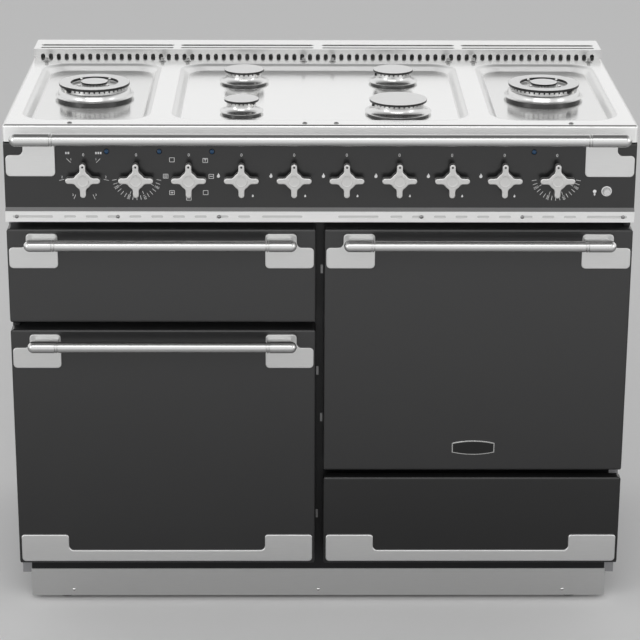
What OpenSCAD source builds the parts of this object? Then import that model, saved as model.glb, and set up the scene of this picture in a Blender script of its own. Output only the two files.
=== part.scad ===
// A dual fuel range cooker: six gas burners, a glide-out storage drawer, a drop-down grill and two side-hung ovens.
// Units are millimetres. +Z is up, -Y is the front, and the origin is on the floor below the middle.

/* [Body] */
// Width across the hotplate and the side panels
body_w = 1092; // [1072:1:1130]
// Depth from the hotplate's front edge to the rear of the vent trim
body_d = 608; // [600:1:640]
// Height of the hotplate's deck above the floor
deck_z = 918; // [905:1:930]
// Thickness of the folded sheet steel
sheet = 1.5; // [1.2:0.1:1.8]
// Height of the base tray above the floor
base_z = 60; // [54:1:64]
// Distance from the door fronts back to the front frame
frame_back = 45; // [45:1:50]

/* [Hotplate] */
// Depth of the hotplate's turned-down edge
apron_h = 30; // [26:1:34]
// Radius along the hotplate's top edges
apron_r = 5; // [3:0.5:6]
// Width of a side well
side_well_w = 221; // [212:1:224]
// Depth of a side well below the deck
side_well_drop = 20; // [16:1:22]
// Depth of the centre well below the deck
centre_well_drop = 15; // [12:1:18]
// Space between a side well and the hotplate's edge
well_edge = 28; // [24:1:32]
// Flat bridge between two wells
well_bridge = 38; // [32:1:44]
// Space in front of the wells
well_front = 35; // [32:1:40]
// Flat strip between the wells and the vent trim
well_back = 51; // [46:1:54]
// Corner radius of the wells
well_r = 50; // [40:1:56]
// Diameter of a pan support stud
stud_d = 7.6; // [6:0.2:9]
// Height of a pan support stud
stud_h = 10; // [6:0.5:12]

/* [Vent trim behind the hotplate] */
// Height of the trim above the deck
upstand_h = 16; // [14:1:20]
// Depth of the trim from front to rear
upstand_d = 83; // [80:1:90]
// Spacing of the arched air holes
arch_pitch = 15.1; // [14:0.1:16]
// Width of one arched air hole
arch_w = 8; // [7:0.5:9.5]
// Height of one arched air hole
arch_h = 7; // [6:0.5:8.5]
// Width of a long slot in the top
flue_slot_w = 8.5; // [7:0.5:10]

/* [Burners] */
// Distance of the four middle burners from the middle
inner_x = 138.5; // [132:0.5:144]
// Half of the spacing between front and rear burners
inner_dy = 116; // [110:1:120]
// Cap diameter of a wok burner
wok_cap_d = 125.5; // [120:0.5:130]
// Cap diameter of the large burner
large_cap_d = 100.5; // [94:0.5:104]
// Cap diameter of a medium burner
medium_cap_d = 72.5; // [68:0.5:76]
// Cap diameter of the small burner
small_cap_d = 60.5; // [56:0.5:64]
// How far a burner's dish stands out beyond its cap
dish_out = 5.2; // [4:0.2:7]
// Height of the caps above the deck
cap_rise = 12; // [10:0.5:14]
// Thickness of a burner cap
cap_t = 3; // [2.4:0.1:3.4]
// Width of one flame port
port_w = 2; // [1.6:0.1:2.4]

/* [Control panel] */
// Height of the panel's flat front
panel_h = 117; // [114:1:122]
// Distance of the panel's face behind the door fronts
panel_back = 4; // [3:0.5:6]
// Height of the flared lip below the panel
lip_h = 5.5; // [4:0.5:7]
// Height of the slotted vent strip
strip_h = 19; // [17:0.5:21]
// Distance of the strip's face in front of the door fronts
strip_out = 3; // [2:0.5:4]
// Height of a slot in the strip
strip_slot_h = 5; // [4:0.5:6]

/* [Knobs] */
// Distance of the outer knobs from the cooker's sides
knob_side = 137.8; // [132:0.2:144]
// Height of the knobs above the panel's bottom edge
knob_up = 54; // [52:0.5:58]
// Length of a knob across two opposite arms
knob_span = 60; // [56:0.5:62]
// Width of a knob's arm
knob_arm_w = 10; // [8:0.5:11]
// Thickness of the arms
knob_arm_t = 14; // [12:0.5:16]
// Distance of the knob's face from the panel
knob_reach = 28; // [27:0.5:32]
// Diameter of the raised disc on a knob's face
knob_disc_d = 21; // [18:0.5:23]
// Diameter of a tap or switch spindle
spindle_d = 8; // [7:0.5:9]
// How far a gas knob pushes in
tap_push = 3; // [2:0.5:4]
// Diameter of an indicator lens
lens_d = 8; // [7:0.5:9]
// Sideways distance of a lens from its knob
lens_dx = 40; // [38:0.5:42]
// Height of the lenses above the knob centres
lens_up = 46; // [43:0.5:48]
// Distance of the light button from the panel's right end
button_in = 49.5; // [47:0.5:53]
// Height of the light button below the knob centres
button_down = 24; // [22:0.5:28]
// Diameter of the light button
button_d = 11.6; // [10:0.2:13]
// Outer diameter of the button's ring
bezel_d = 19.6; // [18:0.2:22]

/* [Handrail and handles] */
// Diameter of the handrail's bar
rail_d = 21.5; // [20:0.5:22]
// Diameter of the handrail's end castings
rail_cap_d = 23; // [22.5:0.5:25]
// Distance of the handrail's centre in front of the hotplate
rail_out = 38; // [38:1:42]
// Height of the handrail's centre below the deck
rail_down = 17; // [16:1:20]
// Diameter of a door handle's bar
handle_d = 19.5; // [18:0.5:19.5]
// Diameter of a door handle's end castings
handle_cap_d = 20.5; // [20:0.5:22]
// Distance of a handle's centre in front of its door
handle_out = 38; // [34:1:38]
// Height of a handle's centre below its door's top
handle_down = 19; // [17:1:21]
// Width of a handle's foot plate
foot_w = 85; // [80:1:90]
// Height of the wide part of a foot plate
foot_h = 38; // [34:1:40]
// Width of the foot plate's upper part
foot_top_w = 55; // [52:1:58]
// Thickness of a foot plate
foot_t = 4; // [3:0.5:5]
// Length of an end casting
cap_len = 53; // [50:1:56]
// Distance of a foot plate from the door's side edge
foot_in = 3.5; // [2:0.5:5]

/* [Doors and drawer] */
// Gap between the left and right doors
door_gap = 14.5; // [12:0.5:16]
// Gap between the vent strip and the doors below it
top_gap = 14; // [12:0.5:16]
// Gap between a door and the one below it
row_gap = 13.5; // [13:0.5:16]
// Height of the grill door
grill_door_h = 172; // [166:1:178]
// Height of the right oven door
right_door_h = 453.5; // [446:0.5:460]
// Height of the lower edges of the left door and the drawer above the floor
door_bottom = 94.5; // [90:0.5:98]
// Depth of a door from its face to its inner side
door_t = 40; // [38:0.5:40]
// Corner radius of the doors
door_r = 6; // [4:0.5:8]
// Depth of the drawer's front
drawer_front_t = 20; // [18:1:24]
// Height of the brushed strip along the lower edges
trim_h = 22.5; // [20:0.5:25]
// Width of the tabs at the strip's ends
trim_tab_w = 86; // [80:1:90]
// Height of the tabs
trim_tab_h = 54; // [50:1:58]
// Space between the strip and the door's edges
trim_in = 5; // [4:0.5:7]
// Travel of the drawer
drawer_travel = 380; // [340:5:400]

/* [Ovens and grill] */
// Depth of an oven from front to rear
oven_d = 412; // [400:1:420]
// Space between a door's side edge and its oven's side wall
oven_side = 39; // [37:1:42]
// Space between a door's top or bottom edge and its oven
oven_rim = 40; // [37:1:43]
// Space between the grill door's top or bottom edge and the grill chamber
grill_rim = 24; // [22:1:27]
// Thickness of the oven door seal
seal_t = 4.7; // [4.5:0.1:4.7]
// Diameter of the wire in the oven shelves
wire_d = 6; // [5:0.5:6]
// Diameter of an oven fan
fan_d = 140; // [130:2:150]

/* [Plinth, feet and rollers] */
// Height of the plinth
plinth_h = 54; // [50:1:56]
// Height of the plinth's lower edge above the floor
plinth_up = 9; // [6:1:12]
// Distance of the plinth's ends from the cooker's sides
plinth_in = 15.5; // [12:0.5:20]
// Diameter of a front foot's pad
foot_pad_d = 40; // [34:1:46]
// Diameter of a rear roller
roller_d = 50; // [44:1:52]
// Distance of the feet and rollers from the cooker's sides
foot_side = 78; // [66:1:96]

/* [Hidden] */
fit = 0.3;
run = 0.3;
front = -(body_d - rail_out - rail_cap_d / 2) / 2;
half_w = body_w / 2;
back = front + body_d;
frame_y = front + frame_back;
frame_t = 2;
liner_y = frame_y + frame_t;
back_panel_y = back - 20;
apron_bottom = deck_z - apron_h;
panel_top = apron_bottom - 1;
panel_bottom = panel_top - panel_h;
strip_top = panel_bottom - lip_h;
strip_bottom = strip_top - strip_h;
door_top = strip_bottom - top_gap;
flange_w = 15;
side_inner = half_w - sheet;
frame_half = side_inner - flange_w;
panel_half = half_w - 0.5;
door_half = half_w - 0.5;
door_w = door_half - door_gap / 2;
door_mid = door_gap / 2 + door_w / 2;
oven_w = door_w - 2 * oven_side;
left_door_top = door_top - grill_door_h - row_gap;
left_door_h = left_door_top - door_bottom;
right_door_bottom = door_top - right_door_h;
drawer_top = right_door_bottom - row_gap;
drawer_h = drawer_top - door_bottom;
side_panel_bottom = base_z - 4;
knob_z = panel_bottom + knob_up;
knob_pitch = (half_w - knob_side) / 4.5;
panel_y = front + panel_back;
knob_face_y = panel_y - knob_reach;
tap_depth = 60;
rail_pipe_y = panel_y + tap_depth;
deck_end = front + body_d - upstand_d;
well_d = body_d - upstand_d - well_front - well_back;
well_y = front + well_front + well_d / 2;
side_well_x = half_w - well_edge - side_well_w / 2;
wok_x = side_well_x;
centre_well_w = body_w - 2 * (well_edge + side_well_w + well_bridge);
side_well_slope = 14;
centre_well_slope = 26;
hinge_x = half_w - 9;
hinge_y = front + 29;
hinge_pin_d = 8;
grill_pivot_y = front + 12;
grill_pivot_z = door_top - grill_door_h + 8;
grill_pin_d = 6;
grill_arm_t = 5;
edge_r = 4;
foot_r = 8;
foot_x = half_w - foot_side;
control_in = 19.5;

oven_mid = door_mid;
grill_mid_z = door_top - grill_door_h / 2;
left_oven_mid_z = (left_door_top + door_bottom) / 2;
right_oven_mid_z = (door_top + right_door_bottom) / 2;
left_oven_h = left_door_h - 2 * oven_rim;
right_oven_h = right_door_h - 2 * oven_rim;
grill_h = grill_door_h - 2 * grill_rim;
drawer_open_z = [door_bottom + 16, drawer_top - 16];
drawer_open_x = [oven_mid - oven_w / 2, oven_mid + oven_w / 2];
inlet_x = half_w - 86;
inlet_d = 20.96;
inlet_l = 18;
inlet_boss_d = 30;
foot_y = frame_y + 34;
roller_y = back_panel_y - 40;
roller_w = 22;
roller_pin_d = 10;
ear_t = 3;
runner_h = 30;
runner_w = 12;
runner_z = (drawer_open_z[0] + drawer_open_z[1]) / 2;
runner_y = [liner_y, liner_y + 400];
button_x = panel_half - button_in;
button_z = knob_z - button_down;
screw_d = 6;
igniter_in = 5;
catch_in = 86;
grill_arm_places = [-oven_mid - door_w / 2 + 24, -oven_mid + door_w / 2 - 24];
ledge_w = 10;
OVEN_LEDGES = [70, 150, 230];
GRILL_LEDGES = [30, 70];
ring_r = 92;
baffle_d = 58;
fan_y = liner_y + oven_d - 34;
FAN_PLACES = [[-oven_mid, left_oven_mid_z], [oven_mid, right_oven_mid_z]];

// The space that each door takes: its ends along X and Z
left_x = [-door_half, -door_gap / 2];
right_x = [door_gap / 2, door_half];
grill_z = [door_top - grill_door_h, door_top];
left_z = [door_bottom, left_door_top];
right_z = [right_door_bottom, door_top];
drawer_z = [door_bottom, drawer_top];

// Places of the burners: x, y, cap diameter, well depth, number of flame ports
BURNERS = [
    [-wok_x, well_y, wok_cap_d, side_well_drop, 42],
    [-inner_x, well_y + inner_dy, medium_cap_d, centre_well_drop, 28],
    [-inner_x, well_y - inner_dy, small_cap_d, centre_well_drop, 24],
    [inner_x, well_y + inner_dy, medium_cap_d, centre_well_drop, 28],
    [inner_x, well_y - inner_dy, large_cap_d, centre_well_drop, 32],
    [wok_x, well_y, wok_cap_d, side_well_drop, 42]
];
GAS_KNOBS = [3, 4, 5, 6, 7, 8];
function knob_x(i) = (i - 4.5) * knob_pitch;
lens_places = [knob_x(0) + lens_dx, knob_x(1) + lens_dx, knob_x(2) + lens_dx, knob_x(9) - lens_dx];

// A flat shape drawn in X and Z, from depth y, with thickness t going back
module upright(y, t) {
    translate([0, y + t, 0]) rotate([90, 0, 0]) linear_extrude(t) children();
}

// A profile drawn in Y and Z, run along X from x with length l
module along_x(x, l) {
    translate([x, 0, 0]) rotate([90, 0, 90]) linear_extrude(l) children();
}

// A box by its lowest corner and its size, written as ranges
module box(x, y, z) {
    translate([x[0], y[0], z[0]]) cube([x[1] - x[0], y[1] - y[0], z[1] - z[0]]);
}

// A rectangle between two corners with round corners of radius r
module round_rect(x, y, r) {
    translate([x[0] + r, y[0]]) square([x[1] - x[0] - 2 * r, y[1] - y[0]]);
    translate([x[0], y[0] + r]) square([x[1] - x[0], y[1] - y[0] - 2 * r]);
    for (cx = [x[0] + r, x[1] - r], cy = [y[0] + r, y[1] - r]) {
        translate([cx, cy]) circle(r, $fn = 32);
    }
}

// A slot with round ends, centred, of total length l and width w
module slot(l, w) {
    square([l - w, w], center = true);
    for (side = [-1, 1]) {
        translate([side * (l - w) / 2, 0]) circle(d = w, $fn = 24);
    }
}

// Fills the inner corner at the origin with a concave round of radius r, towards +X and +Y
module inner_fillet(r) {
    difference() {
        translate([-1, -1]) square(0.92 * r + 1);
        translate([r, r]) circle(r, $fn = 32);
    }
}

// A cylinder that points to the rear, from depth y with length l
module pin_y(x, y, z, d, l) {
    translate([x, y, z]) rotate([-90, 0, 0]) cylinder(d = d, h = l, $fn = 40);
}

// A cylinder that points to the right, from x with length l
module pin_x(x, y, z, d, l) {
    translate([x, y, z]) rotate([0, 90, 0]) cylinder(d = d, h = l, $fn = 40);
}

module both_sides() {
    children();
    mirror([1, 0, 0]) children();
}

// Runs a folded sheet profile along the whole width, closed by a plate at each end
module closed_run(half) {
    along_x(-half + sheet, 2 * (half - sheet)) children(0);
    for (x = [-half, half - sheet]) along_x(x, sheet) children(1);
}

// A block with round front edges and round corners, seen from the front
module soft_block(x, y, z, edge, corner) {
    intersection() {
        upright(y[0], y[1] - y[0]) round_rect(x, z, corner);
        along_x(x[0] - 1, x[1] - x[0] + 2) round_rect([y[0], y[1] + edge], z, edge);
        translate([0, 0, z[0] - 1]) linear_extrude(z[1] - z[0] + 2) round_rect(x, [y[0], y[1] + edge], edge);
    }
}

// A sheet-steel pan with its open side to the rear
module pan(x, y, z, edge, corner, wall) {
    difference() {
        soft_block(x, y, z, edge, corner);
        box([x[0] + wall, x[1] - wall], [y[0] + wall, y[1] + 1], [z[0] + wall, z[1] - wall]);
    }
}

// Body: the folded side panels, open to the inside
module side_panels() {
    color("silver") both_sides() {
        translate([0, 0, side_panel_bottom]) linear_extrude(apron_bottom - side_panel_bottom) difference() {
            translate([frame_half, frame_y]) square([flange_w + sheet, back - frame_y]);
            translate([frame_half - 1, frame_y + sheet]) square([flange_w + 1, back - frame_y - 2 * sheet]);
        }
        box([frame_half, side_inner], [frame_y + sheet, back - sheet], [apron_bottom - sheet, apron_bottom]);
    }
}

// Back panel: flat sheet with rows of louvre slots at the top and bottom
module back_panel() {
    color("gray") difference() {
        box([-side_inner, side_inner], [back_panel_y, back_panel_y + sheet], [base_z, apron_bottom - 2 * sheet]);
        rows = floor((half_w - 60) / 72);
        for (z = [base_z + 60, apron_bottom - 70], n = [-rows : rows]) {
            translate([0, 0, z]) upright(back_panel_y - 1, sheet + 2) translate([n * 72, 0]) slot(50, 7);
        }
        for (x = [-1, 1]) pin_y(x * oven_mid, back_panel_y - 1, grill_mid_z, 40, sheet + 2);
        pin_y(inlet_x, back_panel_y - 1, knob_z, inlet_boss_d + 2 * fit, sheet + 2);
    }
}

// Base: a tray with upstands, the roller brackets, the foot bushes and the drawer's runners
module base_frame() {
    color("dimgray") {
        difference() {
            union() {
                box([-side_inner, side_inner], [liner_y, back_panel_y], [base_z, base_z + sheet]);
                for (y = [liner_y, back_panel_y - sheet]) {
                    box([-side_inner, side_inner], [y, y + sheet], [base_z, base_z + 22]);
                }
                for (x = [-foot_x, foot_x]) translate([x, foot_y, base_z - 8]) cylinder(d = 24, h = 14, $fn = 40);
            }
            for (x = [-foot_x, foot_x]) {
                translate([x, foot_y, base_z - 9]) cylinder(d = 10 + 2 * fit, h = 60, $fn = 40);
            }
        }
        for (x = [-foot_x, foot_x]) {
            for (side = [-1, 1]) roller_ear(x + side * (roller_w / 2 + run + ear_t / 2));
            pin_x(x - roller_w / 2 - run - ear_t, roller_y, roller_d / 2, roller_pin_d, roller_w + 2 * (run + ear_t));
        }
        for (side = [-1, 1]) translate([oven_mid, 0, runner_z]) mirror([side < 0 ? 1 : 0, 0, 0]) {
            translate([0, runner_y[1], 0]) rotate([90, 0, 0]) linear_extrude(runner_y[1] - runner_y[0]) difference() {
                translate([oven_w / 2 - runner_w + sheet, -runner_h / 2]) square([runner_w - sheet, runner_h]);
                translate([oven_w / 2 - runner_w, -runner_h / 2 + sheet]) {
                    square([runner_w - sheet, runner_h - 2 * sheet]);
                }
            }
        }
    }
}

// A plate that holds one end of a roller's pin
module roller_ear(x) {
    translate([x - ear_t / 2, 0, 0]) rotate([90, 0, 90]) linear_extrude(ear_t) {
        translate([roller_y, roller_d / 2]) circle(d = roller_pin_d + 12, $fn = 40);
        translate([roller_y - roller_pin_d / 2 - 6, roller_d / 2]) square([roller_pin_d + 12, base_z - roller_d / 2]);
    }
}

// Front frame: flat sheet with the openings of the grill, the ovens, the drawer and the controls
module front_frame() {
    color("dimgray") difference() {
        box([-frame_half, frame_half], [frame_y, liner_y], [base_z, apron_bottom - sheet]);
        cavity_cut(-oven_mid, grill_mid_z, grill_h);
        cavity_cut(-oven_mid, left_oven_mid_z, left_oven_h);
        cavity_cut(oven_mid, right_oven_mid_z, right_oven_h);
        upright(frame_y - 1, frame_t + 2) round_rect(drawer_open_x, drawer_open_z, 3);
        upright(frame_y - 1, frame_t + 2) round_rect([control_in - frame_half, frame_half - control_in], [panel_bottom + 10, panel_top - 18], 6);
    }
}

module cavity_cut(x, z, h) {
    upright(frame_y - 1, frame_t + 2) round_rect([x - oven_w / 2, x + oven_w / 2], [z - h / 2, z + h / 2], 8);
}

// Plinth: brushed sheet with a hem at the bottom, a fold at the top and returned ends
module plinth() {
    color("silver") {
        half = half_w - plinth_in;
        top = plinth_up + plinth_h;
        along_x(-half, 2 * half) {
            translate([frame_y - sheet, plinth_up]) square([sheet, plinth_h]);
            translate([frame_y - sheet, plinth_up]) square([12, sheet]);
        }
        for (x = [-half, half - sheet]) box([x, x + sheet], [frame_y, frame_y + 26], [plinth_up, side_panel_bottom]);
        for (x = [-0.55 * half_w, 0.55 * half_w]) {
            box([x - 15, x + 15], [frame_y, frame_y + sheet], [plinth_up + sheet, base_z]);
            box([x - 15, x + 15], [frame_y, frame_y + 26], [base_z - sheet, base_z]);
        }
    }
}

// Front feet: a pad, a neck and a threaded stem with its lock nut
module front_feet() {
    color("black") for (x = [-foot_x, foot_x]) translate([x, foot_y, 0]) {
        cylinder(d = foot_pad_d, h = 8, $fn = 48);
        cylinder(d = 18, h = 20, $fn = 40);
        cylinder(d = 10, h = base_z + 14, $fn = 40);
        translate([0, 0, base_z - 16.3]) cylinder(d = 19.6, h = 8, $fn = 6);
    }
}

// Rear rollers: wheels with a hub that turn on the pins of the base
module rear_rollers() {
    color("black") for (x = [-foot_x, foot_x]) translate([x, roller_y, roller_d / 2]) rotate([0, 90, 0]) {
        difference() {
            cylinder(d = roller_d, h = roller_w, center = true, $fn = 48);
            cylinder(d = roller_pin_d + 2 * run, h = roller_w + 2, center = true, $fn = 40);
            for (side = [-1, 1]) translate([0, 0, side * roller_w / 2]) difference() {
                cylinder(d = roller_d - 10, h = 8, center = true, $fn = 48);
                cylinder(d = roller_pin_d + 10, h = 10, center = true, $fn = 40);
            }
        }
    }
}

// The control panel's outline seen from the side, grown inwards by t
module panel_side(t) {
    r = 6;
    difference() {
        union() {
            round_rect([panel_y + t, frame_y + r], [panel_bottom, panel_top - t], r - t / 2);
            translate([panel_y + t, panel_bottom]) square([frame_y - panel_y - t, panel_h / 2]);
            polygon([
                [panel_y + t, panel_bottom + 0.01], [panel_y + t - lip_h, strip_top + t],
                [frame_y, strip_top + t], [frame_y, panel_bottom + 0.01]
            ]);
        }
        translate([frame_y, panel_bottom - 20]) square([20, panel_h + 40]);
    }
}

// Control panel: enamelled sheet with round top edge, flared lip, holes for the shafts, lenses and button
module control_panel() {
    color("darkslategray") difference() {
        closed_run(panel_half) {
            difference() {
                panel_side(0);
                translate([0.01, 0]) panel_side(sheet);
            }
            panel_side(0);
        }
        for (i = [0 : 9]) pin_y(knob_x(i), panel_y - 1, knob_z, spindle_d + 3, sheet + 2);
        for (x = lens_places) pin_y(x, panel_y - 1, knob_z + lens_up, lens_d, sheet + 2);
        pin_y(button_x, panel_y - 1, button_z, button_d + 2 * fit, sheet + 2);
    }
}

// Vent strip: a folded channel with a row of long and short slots
module vent_strip() {
    y = front - strip_out;
    slot_z = (strip_top + strip_bottom) / 2;
    strip_pitch = (half_w - 244.4) / 8;
    color("silver") difference() {
        closed_run(panel_half) {
            difference() {
                translate([y, strip_bottom]) square([frame_y - y, strip_h]);
                translate([y + sheet, strip_bottom + sheet]) square([frame_y - y, strip_h - 2 * sheet]);
            }
            translate([y, strip_bottom]) square([frame_y - y, strip_h]);
        }
        for (side = [-1, 1]) translate([0, 0, slot_z]) upright(y - 1, sheet + 2) {
            for (x = [66, half_w - 48]) translate([side * x, 0]) slot(70, strip_slot_h);
            for (n = [0 : 8]) translate([side * (132 + n * strip_pitch), 0]) slot(21, strip_slot_h);
        }
    }
}

// Dome-head screws of the vent strip and of the plinth
module trim_screws() {
    color("dimgray") {
        for (side = [-1, 1], n = [0 : 2]) {
            x = (half_w - 20) * (n + 1) / 3;
            screw_head(side * x, front - strip_out, (strip_top + strip_bottom) / 2);
        }
        for (x = [93 - half_w, 0, half_w - 93]) screw_head(x, frame_y - sheet, plinth_up + 12);
    }
}

// A low dome that lies on a face at depth y
module screw_head(x, y, z) {
    translate([x, y, z]) rotate([90, 0, 0]) difference() {
        translate([0, 0, -2]) sphere(r = 3.9, $fn = 32);
        translate([0, 0, -10]) cube(20, center = true);
    }
}

// Lenses with their collars, and the ring round the light button
module panel_inserts() {
    color("midnightblue") for (x = lens_places) {
        translate([x, panel_y, knob_z + lens_up]) rotate([90, 0, 0]) {
            cylinder(d = lens_d + 1.6, h = 0.8, $fn = 32);
            cylinder(d = lens_d - 1, h = 2, $fn = 32);
            translate([0, 0, -12]) cylinder(d = lens_d - 2 * fit, h = 12, $fn = 32);
        }
    }
    color("silver") translate([button_x, panel_y, button_z]) rotate([90, 0, 0]) difference() {
        cylinder(d = bezel_d, h = 2.6, $fn = 48);
        translate([0, 0, -1]) cylinder(d = button_d + 2 * fit, h = 5, $fn = 40);
    }
}

// Light button: a cap with a collar behind the panel, pressed against the switch's spring
module light_button() {
    color("gainsboro") translate([button_x, panel_y, button_z]) rotate([90, 0, 0]) {
        translate([0, 0, -14]) cylinder(d = button_d, h = 24, $fn = 40);
        translate([0, 0, -sheet - 2 - fit]) cylinder(d = button_d + 4, h = 2, $fn = 40);
    }
}

// Bodies of the oven and grill switches with their shafts, and the light switch
module control_switches() {
    color("ivory") {
        for (i = [0, 1, 2, 9]) {
            x = knob_x(i);
            soft_switch(x, knob_z, 40, 30);
            pin_y(x, knob_face_y + 12, knob_z, spindle_d, -knob_face_y - 12 + panel_y + sheet + fit);
        }
        soft_switch(button_x, button_z, 24, 22);
    }
}

// A switch body behind the panel, with the hollow that its shaft or button moves in
module soft_switch(x, z, w, d) {
    y = panel_y + sheet + fit;
    difference() {
        box([x - w / 2, x + w / 2], [y, y + d], [z - w / 2, z + w / 2]);
        if (w < 30) pin_y(x, y - 1, z, button_d + 6, d - 3);
    }
}

// The cross-shaped outline of a knob
module knob_outline() {
    for (a = [0, 90]) rotate(a) slot(knob_span, knob_arm_w);
    rotate(45) square(25.6, center = true);
}

// One control knob: cross, raised disc, hub and skirt, with a blind socket for its shaft
module knob(i, gap) {
    color("silver") translate([knob_x(i), knob_face_y, knob_z]) rotate([-90, 0, 0]) difference() {
        union() {
            translate([0, 0, 1]) linear_extrude(knob_arm_t) knob_outline();
            cylinder(d = knob_disc_d, h = 2, $fn = 40);
            translate([0, 0, knob_arm_t]) cylinder(d = 22, h = knob_reach - knob_arm_t - gap, $fn = 40);
            translate([0, 0, knob_reach - gap - 5]) cylinder(d = 28, h = 5, $fn = 40);
        }
        translate([0, 0, 12 - fit]) cylinder(d = spindle_d + 2 * fit, h = knob_reach, $fn = 40);
    }
}
module grill_knob() { knob(0, 1); }
module left_oven_heat_knob() { knob(1, 1); }
module left_oven_function_knob() { knob(2, 1); }
module right_oven_heat_knob() { knob(9, 1); }
module burner_knob(n) { knob(n + 2, tap_push + 1); }

// One tap spindle: a shaft with the collar that its spring presses on
module tap_spindle(n) {
    x = knob_x(n + 2);
    color("goldenrod") {
        pin_y(x, knob_face_y + 12, knob_z, spindle_d, panel_y + 20 - knob_face_y - 12);
        pin_y(x, panel_y + sheet + 1, knob_z, spindle_d + 5, 2);
    }
}

// Gas rail: the pipe across the front, one tap for each burner, and the inlet at the back
module gas_rail() {
    color("goldenrod") {
        pin_x(-wok_x, rail_pipe_y, knob_z, 18, wok_x + inlet_x);
        for (i = GAS_KNOBS) difference() {
            tap_y = panel_y + 9;
            union() {
                pin_y(knob_x(i), tap_y, knob_z, 24, rail_pipe_y - tap_y);
                pin_x(knob_x(i) - 14, rail_pipe_y - 16, knob_z, 18, 28);
            }
            pin_y(knob_x(i), tap_y - 1, knob_z, spindle_d + 2 * fit, 16);
        }
        pin_y(inlet_x, rail_pipe_y, knob_z, 16, back_panel_y - rail_pipe_y);
        pin_y(inlet_x, back_panel_y - 14, knob_z, inlet_boss_d, 14 + sheet);
        pin_y(inlet_x, back_panel_y, knob_z, inlet_d, sheet + inlet_l);
    }
}

// Handrail: bar, two end castings and the brackets that carry them
module handrail() {
    z = deck_z - rail_down;
    y = front - rail_out;
    end = half_w - 16;
    inner = end - 71;
    color("silver") {
        pin_x(-inner - 2, y, z, rail_d, 2 * inner + 4);
        both_sides() {
            pin_x(inner, y, z, rail_cap_d - 2, 5);
            end_casting(inner + 4, end, y, z, rail_cap_d);
            rail_foot([half_w - 89, half_w - foot_in], y, z);
        }
    }
}

// A round casting along X with round edges at its outer end
module end_casting(x0, x1, y, z, d) {
    r = 8.5;
    translate([x0, y, z]) rotate([0, 90, 0]) rotate_extrude($fn = 48) {
        square([d / 2, x1 - x0 - r]);
        square([d / 2 - r, x1 - x0]);
        translate([d / 2 - r, x1 - x0 - r]) intersection() {
            circle(r, $fn = 32);
            square(r);
        }
    }
}

// The L-shaped outline of a foot: wide below, narrower above, with a round in the inner corner
module foot_outline(x, z0, top) {
    round_rect(x, [z0, z0 + foot_h], foot_r);
    round_rect([x[0], x[0] + foot_top_w], [z0, top], foot_r);
    translate([x[0] + foot_top_w, z0 + foot_h]) inner_fillet(8);
}

// Handrail bracket: the L-shaped plate on the panel and the curved arm up to the casting
module rail_foot(x, y, z) {
    low = panel_top - 62;
    plate = panel_y - foot_t;
    upright(plate, foot_t) foot_outline(x, low, panel_top - 3);
    along_x(x[0] + 4, foot_top_w - 8) difference() {
        polygon([[y, panel_top - 26], [plate + 0.01, panel_top - 26], [plate + 0.01, panel_top - 3],
            [plate - 3, panel_top - 3], [y, z]]);
        translate([y, panel_top - 34]) circle(plate - y - 2, $fn = 48);
    }
}

// Door handle: bar, two end castings and two L-shaped feet, on a door between x[0] and x[1]
module handle(x, top) {
    y = front - handle_out;
    z = top - handle_down;
    w = x[1] - x[0];
    inset = foot_in + foot_w - foot_top_w;
    color("silver") translate([x[0], 0, 0]) {
        pin_x(inset + cap_len - 1, y, z, handle_d, w - 2 * (inset + cap_len) + 2);
        handle_end(top);
        translate([w, 0, 0]) mirror([1, 0, 0]) handle_end(top);
    }
}

// One end of a handle, measured from the door's side edge
module handle_end(top) {
    y = front - handle_out;
    z = top - handle_down;
    inner = foot_in + foot_w;
    translate([inner, 0, 0]) mirror([1, 0, 0]) {
        upright(front - foot_t, foot_t) foot_outline([0, foot_w], top - 70.5, top - 7.5);
        end_casting(0, foot_top_w, y, z, handle_cap_d);
        along_x(4, foot_top_w - 12) difference() {
            translate([y, z - 9]) square([handle_out - foot_t + 0.01, 18]);
            translate([y + handle_out / 2, z - 18]) circle(14, $fn = 48);
        }
    }
}

// The space of one pressed well: walls that slope in by the given run, corners as cones
module well(x, y, w, d, drop, run_in, r) {
    translate([x, y, deck_z - drop]) {
        for (cx = [-w / 2 + r, w / 2 - r], cy = [-d / 2 + r, d / 2 - r]) {
            translate([cx, cy, 0]) cylinder(r1 = r - run_in, r2 = r, h = drop, $fn = 48);
        }
        translate([-w / 2 + r, 0, 0]) rotate([90, 0, 90]) linear_extrude(w - 2 * r) {
            polygon([[-d / 2 + run_in, 0], [d / 2 - run_in, 0], [d / 2, drop], [-d / 2, drop]]);
        }
        translate([0, d / 2 - r, 0]) rotate([90, 0, 0]) linear_extrude(d - 2 * r) {
            polygon([[-w / 2 + run_in, 0], [w / 2 - run_in, 0], [w / 2, drop], [-w / 2, drop]]);
        }
    }
}

// The three wells, each grown by t on the outside
module wells(t) {
    for (side = [-1, 1]) {
        well(side * side_well_x, well_y, side_well_w + 2 * t, well_d + 2 * t, side_well_drop + t, side_well_slope,
            well_r + t);
    }
    well(0, well_y, centre_well_w + 2 * t, well_d + 2 * t, centre_well_drop + t, centre_well_slope, well_r + t);
}

// The hotplate's outer form from the turned-down edge up to the deck, with round top edges, shrunk by t
module deck_block(t) {
    low = apron_bottom - (t > 0 ? 1 : 0);
    intersection() {
        along_x(-half_w + t, 2 * (half_w - t)) {
            round_rect([front + t, back - t], [low - apron_r, deck_z - t], apron_r);
        }
        translate([0, back - t, 0]) rotate([90, 0, 0]) linear_extrude(body_d - 2 * t) {
            round_rect([-half_w + t, half_w - t], [low - apron_r, deck_z - t], apron_r);
        }
        box([-half_w, half_w], [front, back], [low, deck_z]);
    }
}

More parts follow.
